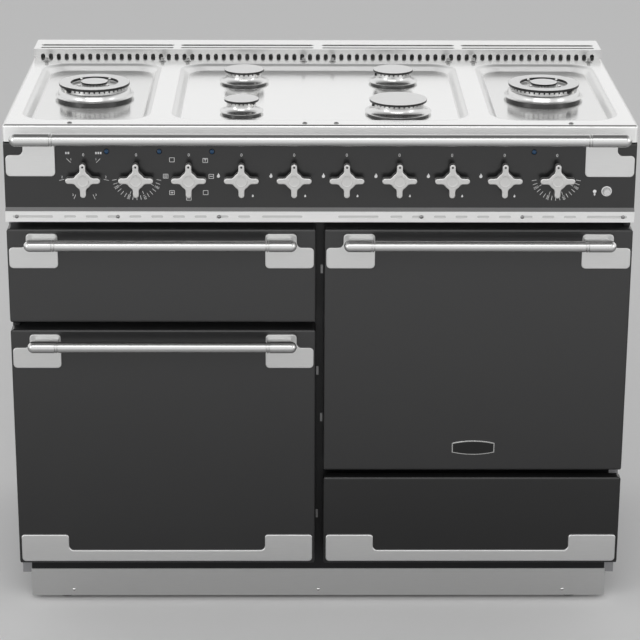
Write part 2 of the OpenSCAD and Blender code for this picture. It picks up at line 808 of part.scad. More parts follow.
// Hotplate: one pressing with three wells, a turned-down edge, support studs and the flue opening
module hotplate() {
    color("silver") {
        difference() {
            union() {
                difference() {
                    deck_block(0);
                    deck_block(sheet);
                }
                wells(sheet);
            }
            wells(0);
            well_tops();
            box([-half_w + 20, half_w - 20], [deck_end + 12, back - 12], [deck_z - 10, deck_z + 1]);
            for (b = BURNERS) translate([b[0], b[1], deck_z - 40]) cylinder(d = 46, h = 40, $fn = 40);
        }
        stud_y = deck_end - 37;
        for (side = [-1, 1], x = [well_edge, well_edge + side_well_w]) stud(side * (half_w - x), stud_y);
        for (side = [-1, 1], x = [centre_well_w / 2 - 9, 27.5]) stud(side * x, stud_y);
        for (x = [115 - half_w, -27, 27, half_w - 115]) translate([x, front + 13, deck_z - 2.5]) intersection() {
            sphere(d = 9.5, $fn = 32);
            translate([0, 0, 7]) cube(10, center = true);
        }
    }
}

// Opens the wells through the deck without leaving a film
module well_tops() {
    intersection() {
        translate([0, 0, 0.5]) wells(0);
        box([-half_w, half_w], [front, back], [deck_z - 1, deck_z + 1]);
    }
}

// A support stud with its welded foot
module stud(x, y) {
    translate([x, y, deck_z - 0.5]) {
        cylinder(d = stud_d, h = stud_h + 0.5, $fn = 32);
        cylinder(d = stud_d + 5.6, h = 2, $fn = 32);
    }
}

// Rear vent trim: a folded hood with arched air holes in front and long slots on top
module rear_vent_trim() {
    color("silver") difference() {
        box([-half_w, half_w], [deck_end, back], [deck_z, deck_z + upstand_h]);
        box([-half_w + sheet, half_w - sheet], [deck_end + sheet, back - sheet], [deck_z - 1, deck_z + upstand_h - sheet]);
        count = floor((half_w - 16) / arch_pitch);
        translate([0, 0, deck_z]) upright(deck_end - 1, sheet + 2) for (n = [-count : count]) {
            translate([n * arch_pitch - arch_w / 2, -1]) square([arch_w, arch_h - arch_w / 2 + 1]);
            translate([n * arch_pitch, arch_h - arch_w / 2]) circle(d = arch_w, $fn = 16);
        }
        flue_l = (half_w - 33) / 2;
        for (side = [-1, 1], x = [8 + flue_l / 2, 21 + 1.5 * flue_l], y = [13, 36]) {
            translate([side * x, deck_end + y, deck_z + upstand_h - sheet - 1]) linear_extrude(sheet + 2) {
                slot(flue_l, y < 20 ? flue_slot_w : flue_slot_w + 4.5);
            }
        }
    }
}

// Places its children at one burner, on the floor of its well
module at_burner(b) {
    translate([b[0], b[1], deck_z - b[3]]) children();
}

// Burner bases: the bright dish, its neck down through the well, the mixing cup and the igniter
module burner_bases() {
    color("whitesmoke") for (b = BURNERS) at_burner(b) {
        rise = b[3] + cap_rise;
        brim = b[2] / 2 + dish_out;
        low = b[3] - 7;
        rotate_extrude($fn = 64) polygon([
            [0, -26], [18, -26], [22.5, -20], [22.5, 0], [30, 0], [30, 2], [24, 3],
            [b[2] / 2 - 8, low - 3], [brim, low], [brim - 1, low + 1.2], [b[2] / 2 - 2, low + 4],
            [b[2] / 2 - 2, low + 5], [0, low + 5]
        ]);
        igniter(b);
    }
}

// The direction from a burner's middle to its igniter
function igniter_angle(b) = b[2] > 110 ? (b[0] < 0 ? 230 : -50) : (b[0] < 0 ? 0 : 180);

// The ceramic igniter in the crown's notch
module igniter(b) {
    rotate(igniter_angle(b)) translate([b[2] / 2 - igniter_in, 0, b[3] - 5]) cylinder(d = 3.6, h = 11, $fn = 24);
}

// Burner crowns: rings with a row of flame ports; the wok burners have a second, inner ring
module burner_crowns() {
    color("gray") for (b = BURNERS) at_burner(b) difference() {
        z0 = b[3] - 2;
        top = b[3] + cap_rise - cap_t - 1.5;
        wok = b[2] > 110;
        union() {
            translate([0, 0, z0]) difference() {
                cylinder(d = b[2] - 2.5, h = top - z0, $fn = 64);
                if (wok) translate([0, 0, -1]) cylinder(d = 87, h = 20, $fn = 64);
            }
            if (wok) translate([0, 0, z0]) {
                cylinder(d = 64, h = top - z0, $fn = 48);
                for (a = [45 : 90 : 315]) rotate(a) translate([36, 0, 0]) cylinder(d = 6, h = 14, $fn = 24);
            }
        }
        for (n = [0 : b[4] - 1]) rotate((n + 0.5) * 360 / b[4]) {
            translate([b[2] / 2 - 8, -port_w / 2, top - 2.4]) cube([12, port_w, 5]);
        }
        igniter_room(b);
    }
}

// The notch in a crown's edge round its igniter
module igniter_room(b) {
    rotate(igniter_angle(b)) translate([b[2] / 2 - igniter_in, -4, b[3] - 4]) cube([12, 8, 30]);
    rotate(igniter_angle(b)) translate([b[2] / 2 - igniter_in, 0, b[3] - 4]) cylinder(d = 8, h = 30, $fn = 24);
}

// Burner caps: enamelled discs, or on the wok burners a ring with a small cap in the middle
module burner_caps() {
    color("gainsboro") for (b = BURNERS) at_burner(b) {
        wok = b[2] > 110;
        top = b[3] + cap_rise;
        if (wok) {
            translate([0, 0, top - cap_t]) difference() {
                round_disc(b[2], cap_t + 4.6);
                translate([0, 0, -1]) cylinder(d = 87, h = 12, $fn = 64);
            }
            translate([0, 0, top - cap_t - 1.5]) difference() {
                cylinder(d = 94, h = 1.6, $fn = 64);
                translate([0, 0, -1]) cylinder(d = 87.6, h = 4, $fn = 64);
            }
            translate([0, 0, top - cap_t - 1.5]) cylinder(d = 30, h = 2, $fn = 40);
            translate([0, 0, top - cap_t]) round_disc(49, cap_t + 5);
        } else {
            translate([0, 0, top - cap_t]) round_disc(b[2], cap_t);
            translate([0, 0, top - cap_t - 1.5]) cylinder(d = b[2] - 18, h = 2, $fn = 48);
        }
    }
}

// A disc with a rounded upper edge
module round_disc(d, h) {
    rotate_extrude($fn = 64) {
        square([d / 2, h - 1.2]);
        square([d / 2 - 1.2, h]);
        translate([d / 2 - 1.2, h - 1.2]) circle(1.2, $fn = 16);
    }
}

// Hinge brackets of the oven doors, each with a pin, the two arms of the grill door, and the door catches
module door_hinges() {
    color("darkgray") {
        hinge_bracket(-hinge_x, left_door_top + fit, 1);
        hinge_bracket(-hinge_x, door_bottom - fit, -1);
        hinge_bracket(hinge_x, door_top + fit, 1);
        hinge_bracket(hinge_x, right_door_bottom - fit, -1);
        for (x = grill_arm_places) grill_arm(x);
        for (z = [door_top - catch_in, right_door_bottom + catch_in]) catch(door_gap / 4, z);
        for (z = [left_door_top - catch_in - 6, door_bottom + catch_in - 6]) catch(-door_gap / 4, z);
    }
}

// A spring catch on the front frame, in the gap between the doors
module catch(x, z) {
    box([x - 2, x + 2], [frame_y - 2, frame_y], [z - 8, z + 8]);
}

// A bracket in the gap above (up = 1) or below (up = -1) a door, with its pin in the door's end
module hinge_bracket(x, z, up) {
    t = 4;
    translate([x, 0, z]) mirror([0, 0, up > 0 ? 0 : 1]) {
        translate([0, hinge_y, 0]) cylinder(r = 7, h = t, $fn = 40);
        box([-7, 7], [hinge_y, frame_y], [0, t]);
        box([x > 0 ? -20 : -8, x > 0 ? 8 : 20], [frame_y - 2, frame_y], [0, 10]);
        translate([0, hinge_y, -13]) cylinder(d = hinge_pin_d, h = 13 + t, $fn = 40);
    }
}

// A flat arm from the frame with an eye round the grill door's pin
module grill_arm(x) {
    translate([x - grill_arm_t / 2, 0, 0]) rotate([90, 0, 90]) linear_extrude(grill_arm_t) difference() {
        union() {
            translate([grill_pivot_y, grill_pivot_z]) circle(d = grill_pin_d + 6, $fn = 40);
            translate([grill_pivot_y, grill_pivot_z - 4]) square([frame_y - grill_pivot_y, 8]);
        }
        translate([grill_pivot_y, grill_pivot_z]) circle(d = grill_pin_d + 2 * run, $fn = 40);
    }
}

// Door seals: a soft loop on the frame round each opening
module door_seals() {
    color("dimgray") {
        seal(-oven_mid, grill_mid_z, grill_h, 5);
        seal(-oven_mid, left_oven_mid_z, left_oven_h, 9);
        seal(oven_mid, right_oven_mid_z, right_oven_h, 9);
    }
}

module seal(x, z, h, w) {
    upright(frame_y - seal_t, seal_t) difference() {
        round_rect([x - oven_w / 2 - w - 2, x + oven_w / 2 + w + 2], [z - h / 2 - w - 2, z + h / 2 + w + 2], 10);
        round_rect([x - oven_w / 2 - 2, x + oven_w / 2 + 2], [z - h / 2 - 2, z + h / 2 + 2], 8);
    }
}

// An open-fronted enamelled box with ledges for shelves at the given heights
module liner(x, z, h, ledges, hole) {
    translate([x, 0, 0]) difference() {
        union() {
            difference() {
                box([-oven_w / 2 - sheet, oven_w / 2 + sheet], [liner_y, liner_y + oven_d + sheet],
                    [z - h / 2 - sheet, z + h / 2 + sheet]);
                box([-oven_w / 2, oven_w / 2], [liner_y - 1, liner_y + oven_d], [z - h / 2, z + h / 2]);
            }
            for (lz = ledges, side = [-1, 1]) mirror([side < 0 ? 1 : 0, 0, 0]) {
                box([oven_w / 2 - ledge_w, oven_w / 2], [liner_y + 20, liner_y + oven_d - 70],
                    [z - h / 2 + lz - 3, z - h / 2 + lz]);
            }
        }
        if (hole > 0) pin_y(0, liner_y + oven_d - 1, z, hole, sheet + 2);
    }
}
module grill_liner() {
    color("slategray") liner(-oven_mid, grill_mid_z, grill_h, GRILL_LEDGES, 0);
}
module left_oven_liner() {
    color("slategray") liner(-oven_mid, left_oven_mid_z, left_oven_h, OVEN_LEDGES, 16);
}
module right_oven_liner() {
    color("slategray") liner(oven_mid, right_oven_mid_z, right_oven_h, OVEN_LEDGES, 16);
}

// Heating elements: the grill's bent tubes below its roof and a ring round each fan
module heating_elements() {
    color("firebrick") {
        rod = 6.5;
        z = grill_mid_z + grill_h / 2 - 14;
        y0 = liner_y + 60;
        y1 = liner_y + oven_d;
        translate([-oven_mid, 0, z]) {
            for (x = [-175, -125, -75, -25, 25, 75, 125, 175]) {
                end = abs(x) > 170 ? y1 : y1 - 60;
                translate([x, y0, 0]) rotate([-90, 0, 0]) cylinder(d = rod, h = end - y0, $fn = 16);
            }
            for (x = [-150, -50, 50, 150]) translate([x, y0, 0]) bend(180, rod);
            for (x = [-100, 0, 100]) translate([x, y1 - 60, 0]) bend(0, rod);
        }
        for (p = FAN_PLACES) translate([p[0], fan_y + 14, p[1]]) rotate([90, 0, 0]) {
            rotate_extrude($fn = 40) translate([ring_r, 0]) circle(d = rod, $fn = 16);
            for (a = [80, 100]) rotate(a) translate([ring_r, 0, -(y1 - fan_y - 14)]) {
                cylinder(d = rod, h = y1 - fan_y - 14, $fn = 16);
            }
        }
    }
}

// A half-round bend of a tube, open towards +Y when turned by 180
module bend(a, rod) {
    rotate(a) rotate_extrude(angle = 180, $fn = 32) translate([25, 0]) circle(d = rod, $fn = 16);
}

// Fan mounts: the baffle with its grid and side outlets, and the motor behind the oven
module fan_mounts() {
    color("lightslategray") for (p = FAN_PLACES) translate([p[0], 0, p[1]]) {
        y0 = liner_y + oven_d - baffle_d;
        y1 = liner_y + oven_d;
        difference() {
            box([-150, 150], [y0, y1], [-130, 130]);
            box([-150 + sheet, 150 - sheet], [y0 + sheet, y1 + 1], [-130 + sheet, 130 - sheet]);
            upright(y0 - 1, sheet + 2) for (n = [-3 : 3]) translate([0, n * 14]) slot(104 - 8 * abs(n), 6);
            for (side = [-1, 1], z = [-90, -45, 0, 45, 90]) {
                box([side * 150 - 5, side * 150 + 5], [y0 + 14, y1 - 10], [z - 15, z + 15]);
            }
        }
        difference() {
            pin_y(0, y1 + sheet, 0, 74, 52);
            pin_y(0, y1 + sheet - 1, 0, 6 + 2 * run, 30);
        }
    }
}

// One oven fan: a disc with upright blades, its hub and its shaft through the oven's rear wall
module fan(p) {
    color("gainsboro") translate([p[0], fan_y, p[1]]) rotate([-90, 0, 0]) {
        cylinder(d = fan_d, h = sheet, $fn = 48);
        for (n = [0 : 11]) rotate(n * 30) translate([fan_d / 2 - 22, -0.75, -16]) cube([20, sheet, 16.5]);
        cylinder(d = 16, h = 12, $fn = 32);
        cylinder(d = 6, h = 34 + sheet + 24, $fn = 32);
    }
}
module left_fan() { fan(FAN_PLACES[0]); }
module right_fan() { fan(FAN_PLACES[1]); }

// Oven shelves: wire racks, two in each oven, that lie on the ledges
module oven_shelves() {
    color("silver") for (p = FAN_PLACES, n = [0, 2]) {
        h = p[0] < 0 ? left_oven_h : right_oven_h;
        shelf(p[0], p[1] - h / 2 + OVEN_LEDGES[n] + fit + wire_d / 2);
    }
}

// A wire rack between the walls of an oven, with its middle at x and its frame's centre at z
module shelf(x, z) {
    half = oven_w / 2 - 2 - wire_d / 2;
    y0 = liner_y + 24;
    y1 = liner_y + oven_d - 80;
    for (side = [-1, 1]) {
        pin_y(x + side * half, y0, z, wire_d, y1 - y0);
        for (y = [y0, y1]) translate([x + side * half, y, z]) sphere(d = wire_d, $fn = 24);
    }
    for (y = [y0, y1]) pin_x(x - half, y, z, wire_d, 2 * half);
    for (n = [-5 : 5]) pin_y(x + n * half / 6, y0, z, 4, y1 - y0);
}

// Grill pan: a pressed tray with a rim that lies on the lower ledges
module grill_pan() {
    z = grill_mid_z - grill_h / 2 + GRILL_LEDGES[0] + fit;
    half = oven_w / 2 - 2;
    color("dimgray") difference() {
        union() {
            box([-oven_mid - half, -oven_mid + half], [liner_y + 24, liner_y + oven_d - 80], [z, z + sheet]);
            box([-oven_mid - half + ledge_w, -oven_mid + half - ledge_w], [liner_y + 32, liner_y + oven_d - 88],
                [z - 22, z + sheet]);
        }
        box([-oven_mid - half + ledge_w + sheet, -oven_mid + half - ledge_w - sheet],
            [liner_y + 32 + sheet, liner_y + oven_d - 88 - sheet], [z - 22 + sheet, z + 5]);
    }
}

// The notches round the grill door's arms, open to the rear and to the bottom
module arm_notches() {
    w = grill_arm_t + 2;
    for (x = grill_arm_places) {
        box([x - w / 2, x + w / 2], [front + 4, front + door_t + 1], [grill_z[0] - 1, grill_pivot_z + 7]);
    }
}

// Grill door: the outer pan
module grill_door_panel() {
    color("darkslategray") difference() {
        pan(left_x, [front, front + door_t], grill_z, edge_r, door_r, 2);
        arm_notches();
    }
}

// Grill door: the inner pressing with the ears and pins that the arms hold
module grill_door_liner() {
    color("slategray") {
        difference() {
            inner_pressing(left_x, grill_z, grill_rim, 5);
            arm_notches();
        }
        for (x = grill_arm_places) {
            for (side = [-1, 1]) {
                ear_x = x + side * (grill_arm_t / 2 + 2.5);
                box([ear_x - 1.5, ear_x + 1.5], [front + 2 + fit, front + door_t - sheet], [grill_z[0] + 2 + fit, grill_pivot_z + 8]);
            }
            pin_x(x - 6, grill_pivot_y, grill_pivot_z, grill_pin_d, 12);
        }
    }
}

// The inner face of a door: a flat rim and a shallow raised field that faces the cavity
module inner_pressing(x, z, rim, deep) {
    y = front + door_t;
    edge = 2 + fit;
    fx = [x[0] + oven_side + 4, x[1] - oven_side - 4];
    fz = [z[0] + rim + 4, z[1] - rim - 4];
    difference() {
        union() {
            box([x[0] + edge, x[1] - edge], [y - sheet, y], [z[0] + edge, z[1] - edge]);
            upright(y - sheet, deep + sheet) round_rect(fx, fz, 6);
        }
        upright(y - sheet - 1, deep + 1) round_rect([fx[0] + sheet, fx[1] - sheet], [fz[0] + sheet, fz[1] - sheet], 5);
    }
}

module grill_door_handle() { handle(left_x, grill_z[1]); }
module left_door_handle() { handle(left_x, left_z[1]); }
module right_door_handle() { handle(right_x, right_z[1]); }

// A side-hung door's outer pan, with the holes for its hinge pins
module hung_door(x, z, pin_x_at) {
    color("darkslategray") difference() {
        pan(x, [front, front + door_t], z, edge_r, door_r, 2);
        for (pz = z) translate([pin_x_at, hinge_y, pz - 5]) cylinder(d = hinge_pin_d + 2 * run, h = 10, $fn = 40);
    }
}
module left_door_panel() { hung_door(left_x, left_z, -hinge_x); }
module right_door_panel() { hung_door(right_x, right_z, hinge_x); }
module left_door_liner() { color("slategray") inner_pressing(left_x, left_z, oven_rim, 8); }
module right_door_liner() { color("slategray") inner_pressing(right_x, right_z, oven_rim, 8); }

// A brushed strip along a lower edge, with a taller tab at each end
module edge_trim(x) {
    x0 = x[0] + trim_in;
    x1 = x[1] - trim_in;
    color("silver") upright(front - 3, 3) {
        z = door_bottom + trim_in;
        round_rect([x0, x1], [z, z + trim_h], 3);
        round_rect([x0, x0 + trim_tab_w], [z, z + trim_tab_h], 3);
        round_rect([x1 - trim_tab_w, x1], [z, z + trim_tab_h], 3);
        translate([x0 + trim_tab_w, z + trim_h]) inner_fillet(10);
        translate([x1 - trim_tab_w, z + trim_h]) mirror([1, 0]) inner_fillet(10);
    }
}
module left_door_trim() { edge_trim(left_x); }
module drawer_trim() { edge_trim(right_x); }

// Drawer front: a shallow pan closed by a flat sheet behind
module drawer_front() {
    y = front + drawer_front_t;
    color("darkslategray") {
        pan(right_x, [front, y], drawer_z, edge_r, door_r, 2);
        box([right_x[0] + 2, right_x[1] - 2], [y - sheet, y], [drawer_z[0] + 2, drawer_z[1] - 2]);
    }
}

// Drawer box: a folded tray with a rail on each side, fixed to the drawer front
module drawer_box() {
    y0 = front + drawer_front_t;
    y1 = runner_y[1] - 10;
    x = [drawer_open_x[0] + runner_w + 2, drawer_open_x[1] - runner_w - 2];
    z = [drawer_open_z[0] + 4, drawer_open_z[1] - 14];
    color("gray") {
        difference() {
            box(x, [y0, y1], z);
            box([x[0] + sheet, x[1] - sheet], [y0 + sheet, y1 - sheet], [z[0] + sheet, z[1] + 1]);
        }
        for (side = [-1, 1]) {
            inner = oven_w / 2 - runner_w - 2;
            rail = [inner, oven_w / 2 - sheet - run];
            half_h = runner_h / 2 - sheet - run;
            translate([oven_mid, 0, 0]) mirror([side < 0 ? 1 : 0, 0, 0]) {
                box(rail, [y0 + 25, y1], [runner_z - half_h, runner_z + half_h]);
            }
        }
    }
}

side_panels();
back_panel();
base_frame();
front_frame();
plinth();
front_feet();
rear_rollers();
control_panel();
vent_strip();
trim_screws();
panel_inserts();
handrail();
hotplate();
rear_vent_trim();
burner_bases();
burner_crowns();
burner_caps();
gas_rail();
door_hinges();
door_seals();
grill_liner();
left_oven_liner();
right_oven_liner();
heating_elements();
fan_mounts();
left_fan();
right_fan();
oven_shelves();
grill_pan();
control_switches();
grill_knob();
left_oven_heat_knob();
left_oven_function_knob();
right_oven_heat_knob();
burner_knob(1);  // burner_knob_1
burner_knob(2);  // burner_knob_2
burner_knob(3);  // burner_knob_3
burner_knob(4);  // burner_knob_4
burner_knob(5);  // burner_knob_5
burner_knob(6);  // burner_knob_6
tap_spindle(1);  // tap_spindle_1
tap_spindle(2);  // tap_spindle_2
tap_spindle(3);  // tap_spindle_3
tap_spindle(4);  // tap_spindle_4
tap_spindle(5);  // tap_spindle_5
tap_spindle(6);  // tap_spindle_6
light_button();
grill_door_panel();
grill_door_liner();
grill_door_handle();
left_door_panel();
left_door_liner();
left_door_handle();
left_door_trim();
right_door_panel();
right_door_liner();
right_door_handle();
drawer_front();
drawer_trim();
drawer_box();
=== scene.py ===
import bmesh, bpy, math
from mathutils import Matrix, Vector
from mathutils.geometry import tessellate_polygon


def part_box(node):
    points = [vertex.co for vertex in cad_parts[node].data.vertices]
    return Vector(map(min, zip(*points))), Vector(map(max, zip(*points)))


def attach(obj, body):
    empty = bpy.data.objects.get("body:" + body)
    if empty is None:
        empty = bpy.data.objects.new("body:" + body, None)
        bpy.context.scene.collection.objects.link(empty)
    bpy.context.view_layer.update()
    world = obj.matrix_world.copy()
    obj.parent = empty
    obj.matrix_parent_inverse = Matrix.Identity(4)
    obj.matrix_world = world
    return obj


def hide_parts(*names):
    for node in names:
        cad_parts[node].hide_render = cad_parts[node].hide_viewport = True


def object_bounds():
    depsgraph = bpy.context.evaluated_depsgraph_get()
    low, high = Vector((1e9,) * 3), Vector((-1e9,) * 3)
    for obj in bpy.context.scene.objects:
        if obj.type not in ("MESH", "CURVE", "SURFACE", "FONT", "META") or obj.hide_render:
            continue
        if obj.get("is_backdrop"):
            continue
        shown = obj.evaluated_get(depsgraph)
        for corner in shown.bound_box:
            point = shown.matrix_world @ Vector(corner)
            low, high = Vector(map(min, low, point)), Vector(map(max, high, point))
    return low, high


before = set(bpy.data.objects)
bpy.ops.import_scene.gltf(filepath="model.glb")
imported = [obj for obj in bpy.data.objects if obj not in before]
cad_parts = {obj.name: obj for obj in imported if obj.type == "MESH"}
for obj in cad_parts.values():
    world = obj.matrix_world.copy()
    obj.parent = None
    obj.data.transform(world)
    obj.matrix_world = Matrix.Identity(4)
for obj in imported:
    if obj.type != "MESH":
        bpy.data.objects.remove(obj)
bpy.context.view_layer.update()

# Camera: it stands a little left of the cooker's middle, about 1.9 m above the floor and 3.9 m in front of the
# hotplate, and looks 19 degrees down through a long lens.
eye = Vector((-0.04429, -4.1499, 1.90447))
turn, dip, lean = 0.011517, 0.3332, 0.0043881
ahead = Vector((math.sin(turn) * math.cos(dip), math.cos(turn) * math.cos(dip), -math.sin(dip)))
level = Vector((math.cos(turn), -math.sin(turn), 0.0))
upward = level.cross(ahead)
right = level * math.cos(lean) + upward * math.sin(lean)
upward = right.cross(ahead)
camera_data = bpy.data.cameras.new("camera")
camera_data.sensor_width = 36.0
camera_data.lens = 130.726
camera = bpy.data.objects.new("camera", camera_data)
camera.matrix_world = Matrix.Translation(eye) @ Matrix((right, upward, -ahead)).transposed().to_4x4()
bpy.context.scene.collection.objects.link(camera)
bpy.context.scene.camera = camera

# Studio: a pale paper sheet that runs under the cooker and curves up behind it. To the camera it is plain and pale. To
# everything else it is darker close to the cooker, as the floor is in the shade of its front.
bpy.context.scene.view_settings.view_transform = "Standard"
paper = bpy.data.materials.new("studio_paper")
paper.use_nodes = True
nodes, links = paper.node_tree.nodes, paper.node_tree.links
nodes["Principled BSDF"].inputs["Roughness"].default_value = 0.9
nodes["Principled BSDF"].inputs["Specular IOR Level"].default_value = 0.1
spot = nodes.new("ShaderNodeTexCoord")
split = nodes.new("ShaderNodeSeparateXYZ")
shade = nodes.new("ShaderNodeMapRange")
shade.inputs["From Min"].default_value, shade.inputs["From Max"].default_value = -0.30, -2.30
shade.inputs["To Min"].default_value, shade.inputs["To Max"].default_value = 0.36, 0.95
ray = nodes.new("ShaderNodeLightPath")
choice = nodes.new("ShaderNodeMix")
choice.inputs["B"].default_value = 0.80
links.new(spot.outputs["Object"], split.inputs["Vector"])
links.new(split.outputs["Y"], shade.inputs["Value"])
links.new(ray.outputs["Is Camera Ray"], choice.inputs["Factor"])
links.new(shade.outputs["Result"], choice.inputs["A"])
links.new(choice.outputs["Result"], nodes["Principled BSDF"].inputs["Base Color"])
sheet_half, sheet_front, sheet_back, sheet_curve = 7.0, -6.0, 8.0, 1.5
sweep = [(sheet_front, 0.0), (sheet_back, 0.0)]
for n in range(1, 13):
    a = math.pi / 2 * n / 16
    sweep.append((sheet_back + sheet_curve * math.sin(a), sheet_curve - sheet_curve * math.cos(a)))
sheet_mesh = bpy.data.meshes.new("studio_sheet")
sheet_mesh.from_pydata(
    [(x, y, z) for y, z in sweep for x in (-sheet_half, sheet_half)], [],
    [(2 * n, 2 * n + 1, 2 * n + 3, 2 * n + 2) for n in range(len(sweep) - 1)],
)
sheet_mesh.polygons.foreach_set("use_smooth", [True] * len(sheet_mesh.polygons))
sheet_mesh.materials.append(paper)
studio_sheet = bpy.data.objects.new("studio_sheet", sheet_mesh)
bpy.context.scene.collection.objects.link(studio_sheet)
studio_sheet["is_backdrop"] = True

# Light: a wide soft box in front and above, a low one from the left and a weaker one from the right, in a pale room
# with a dark ceiling, as the metal shows it.
for name, place, aim, size, power in [
    ("soft_box_above", (-0.3, -3.4, 3.6), (0.0, -0.2, 0.8), (3.4, 1.1), 22.0),
    ("soft_box_left", (-3.0, -2.4, 1.6), (0.0, -0.2, 0.6), (1.2, 2.2), 14.0),
    ("soft_box_right", (3.0, -2.0, 1.8), (0.0, -0.2, 0.6), (1.0, 2.0), 7.0),
]:
    lamp = bpy.data.lights.new(name, "AREA")
    lamp.shape = "RECTANGLE"
    lamp.size, lamp.size_y = size
    lamp.energy = power
    lamp_object = bpy.data.objects.new(name, lamp)
    lamp_object.location = place
    lamp_object.rotation_euler = (Vector(aim) - Vector(place)).to_track_quat("-Z", "Y").to_euler()
    bpy.context.scene.collection.objects.link(lamp_object)
world = bpy.data.worlds.new("studio_room")
world.use_nodes = True
bpy.context.scene.world = world
nodes, links = world.node_tree.nodes, world.node_tree.links
direction = nodes.new("ShaderNodeTexCoord")
parts = nodes.new("ShaderNodeSeparateXYZ")
room = nodes.new("ShaderNodeValToRGB")
room.color_ramp.elements[0].position, room.color_ramp.elements[0].color = 0.0, (0.95, 0.95, 0.95, 1.0)
room.color_ramp.elements[1].position, room.color_ramp.elements[1].color = 1.0, (0.12, 0.12, 0.12, 1.0)
for place, tone in ((0.50, 1.0), (0.76, 0.50), (0.90, 0.22)):
    room.color_ramp.elements.new(place).color = (tone, tone, tone, 1.0)
height = nodes.new("ShaderNodeMapRange")
links.new(direction.outputs["Generated"], parts.inputs["Vector"])
links.new(parts.outputs["Z"], height.inputs["Value"])
links.new(height.outputs["Result"], room.inputs["Fac"])
links.new(room.outputs["Color"], nodes["Background"].inputs["Color"])
nodes["Background"].inputs["Strength"].default_value = 1.0


# Side panels: folded sheet steel with a grey paint. They carry the hotplate and the frame, and stand back from the
# doors.
def painted(name, colour, roughness, grain=0.04, scale=900.0, coat=0.0):
    """Sprayed or enamelled steel: an even colour, a faint orange peel and slightly uneven gloss."""
    material = bpy.data.materials.new(name)
    material.use_nodes = True
    nodes, links = material.node_tree.nodes, material.node_tree.links
    surface = nodes["Principled BSDF"]
    surface.inputs["Base Color"].default_value = (*colour, 1.0)
    surface.inputs["Coat Weight"].default_value = coat
    surface.inputs["Coat Roughness"].default_value = 0.12
    place = nodes.new("ShaderNodeTexCoord")
    peel = nodes.new("ShaderNodeTexNoise")
    peel.inputs["Scale"].default_value = scale
    peel.inputs["Detail"].default_value = 3.0
    wear = nodes.new("ShaderNodeTexNoise")
    wear.inputs["Scale"].default_value = 7.0
    wear.inputs["Detail"].default_value = 6.0
    gloss = nodes.new("ShaderNodeMapRange")
    gloss.inputs["To Min"].default_value = roughness - 0.05
    gloss.inputs["To Max"].default_value = roughness + 0.05
    bump = nodes.new("ShaderNodeBump")
    bump.inputs["Strength"].default_value = grain
    bump.inputs["Distance"].default_value = 0.0004
    links.new(place.outputs["Object"], peel.inputs["Vector"])
    links.new(place.outputs["Object"], wear.inputs["Vector"])
    links.new(wear.outputs["Fac"], gloss.inputs["Value"])
    links.new(gloss.outputs["Result"], surface.inputs["Roughness"])
    links.new(peel.outputs["Fac"], bump.inputs["Height"])
    links.new(bump.outputs["Normal"], surface.inputs["Normal"])
    return material


def dress(material, *names):
    """Gives CAD nodes one finish."""
    for name in names:
        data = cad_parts[name].data
        data.materials.clear()
        data.materials.append(material)


side_paint = painted("side_paint", (0.30, 0.30, 0.31), 0.42)
dress(side_paint, "side_panels")

# Back panel, fans and drawer box: bare galvanised sheet with its faint crystal pattern. The panel closes the body's
# rear, the fans are pressed wheels on their motors' shafts, and the drawer box is folded and slides on runners.
galvanised = painted("galvanised_sheet", (0.52, 0.53, 0.54), 0.4, 0.1, 60.0)
galvanised.node_tree.nodes["Principled BSDF"].inputs["Metallic"].default_value = 0.9
dress(galvanised, "back_panel", "fan_mounts", "left_fan", "right_fan", "drawer_box")

# Base and door hinges: steel pressings with a black paint. The base is a tray that carries the body on its feet and
# rollers, and the brackets on the front frame hold the doors' pins.
black_paint = painted("black_paint", (0.012, 0.012, 0.013), 0.5)
dress(black_paint, "base_frame", "door_hinges")

# Front frame: black enamelled sheet between the side panels, that the door seals press on. It shows only as dark
# lines between the doors.
frame_enamel = painted("frame_enamel", (0.006, 0.006, 0.007), 0.35, 0.02)
dress(frame_enamel, "front_frame")


# Plinth and screws: a strip of brushed stainless sheet between the side panels, held by bright dome-head screws. Its
# grain runs along the cooker. The vent strip's screws are darker.
def brushed(name, colour, roughness, along=(1.0, 60.0, 60.0), depth=0.12, scale=40.0):
    """Stainless steel with a grain that runs along one axis."""
    material = bpy.data.materials.new(name)
    material.use_nodes = True
    nodes, links = material.node_tree.nodes, material.node_tree.links
    surface = nodes["Principled BSDF"]
    surface.inputs["Metallic"].default_value = 1.0
    place = nodes.new("ShaderNodeTexCoord")
    stretch = nodes.new("ShaderNodeMapping")
    stretch.inputs["Scale"].default_value = along
    grain = nodes.new("ShaderNodeTexNoise")
    grain.inputs["Scale"].default_value = scale
    grain.inputs["Detail"].default_value = 4.0
    tone = nodes.new("ShaderNodeMix")
    tone.data_type = "RGBA"
    tone.inputs["A"].default_value = (*[c * 0.94 for c in colour], 1.0)
    tone.inputs["B"].default_value = (*[min(1.0, c * 1.04) for c in colour], 1.0)
    gloss = nodes.new("ShaderNodeMapRange")
    gloss.inputs["To Min"].default_value = roughness - 0.06
    gloss.inputs["To Max"].default_value = roughness + 0.06
    bump = nodes.new("ShaderNodeBump")
    bump.inputs["Strength"].default_value = depth
    bump.inputs["Distance"].default_value = 0.0002
    links.new(place.outputs["Object"], stretch.inputs["Vector"])
    links.new(stretch.outputs["Vector"], grain.inputs["Vector"])
    links.new(grain.outputs["Fac"], tone.inputs["Factor"])
    links.new(tone.outputs["Result"], surface.inputs["Base Color"])
    links.new(grain.outputs["Fac"], gloss.inputs["Value"])
    links.new(gloss.outputs["Result"], surface.inputs["Roughness"])
    links.new(grain.outputs["Fac"], bump.inputs["Height"])
    links.new(bump.outputs["Normal"], surface.inputs["Normal"])
    return material


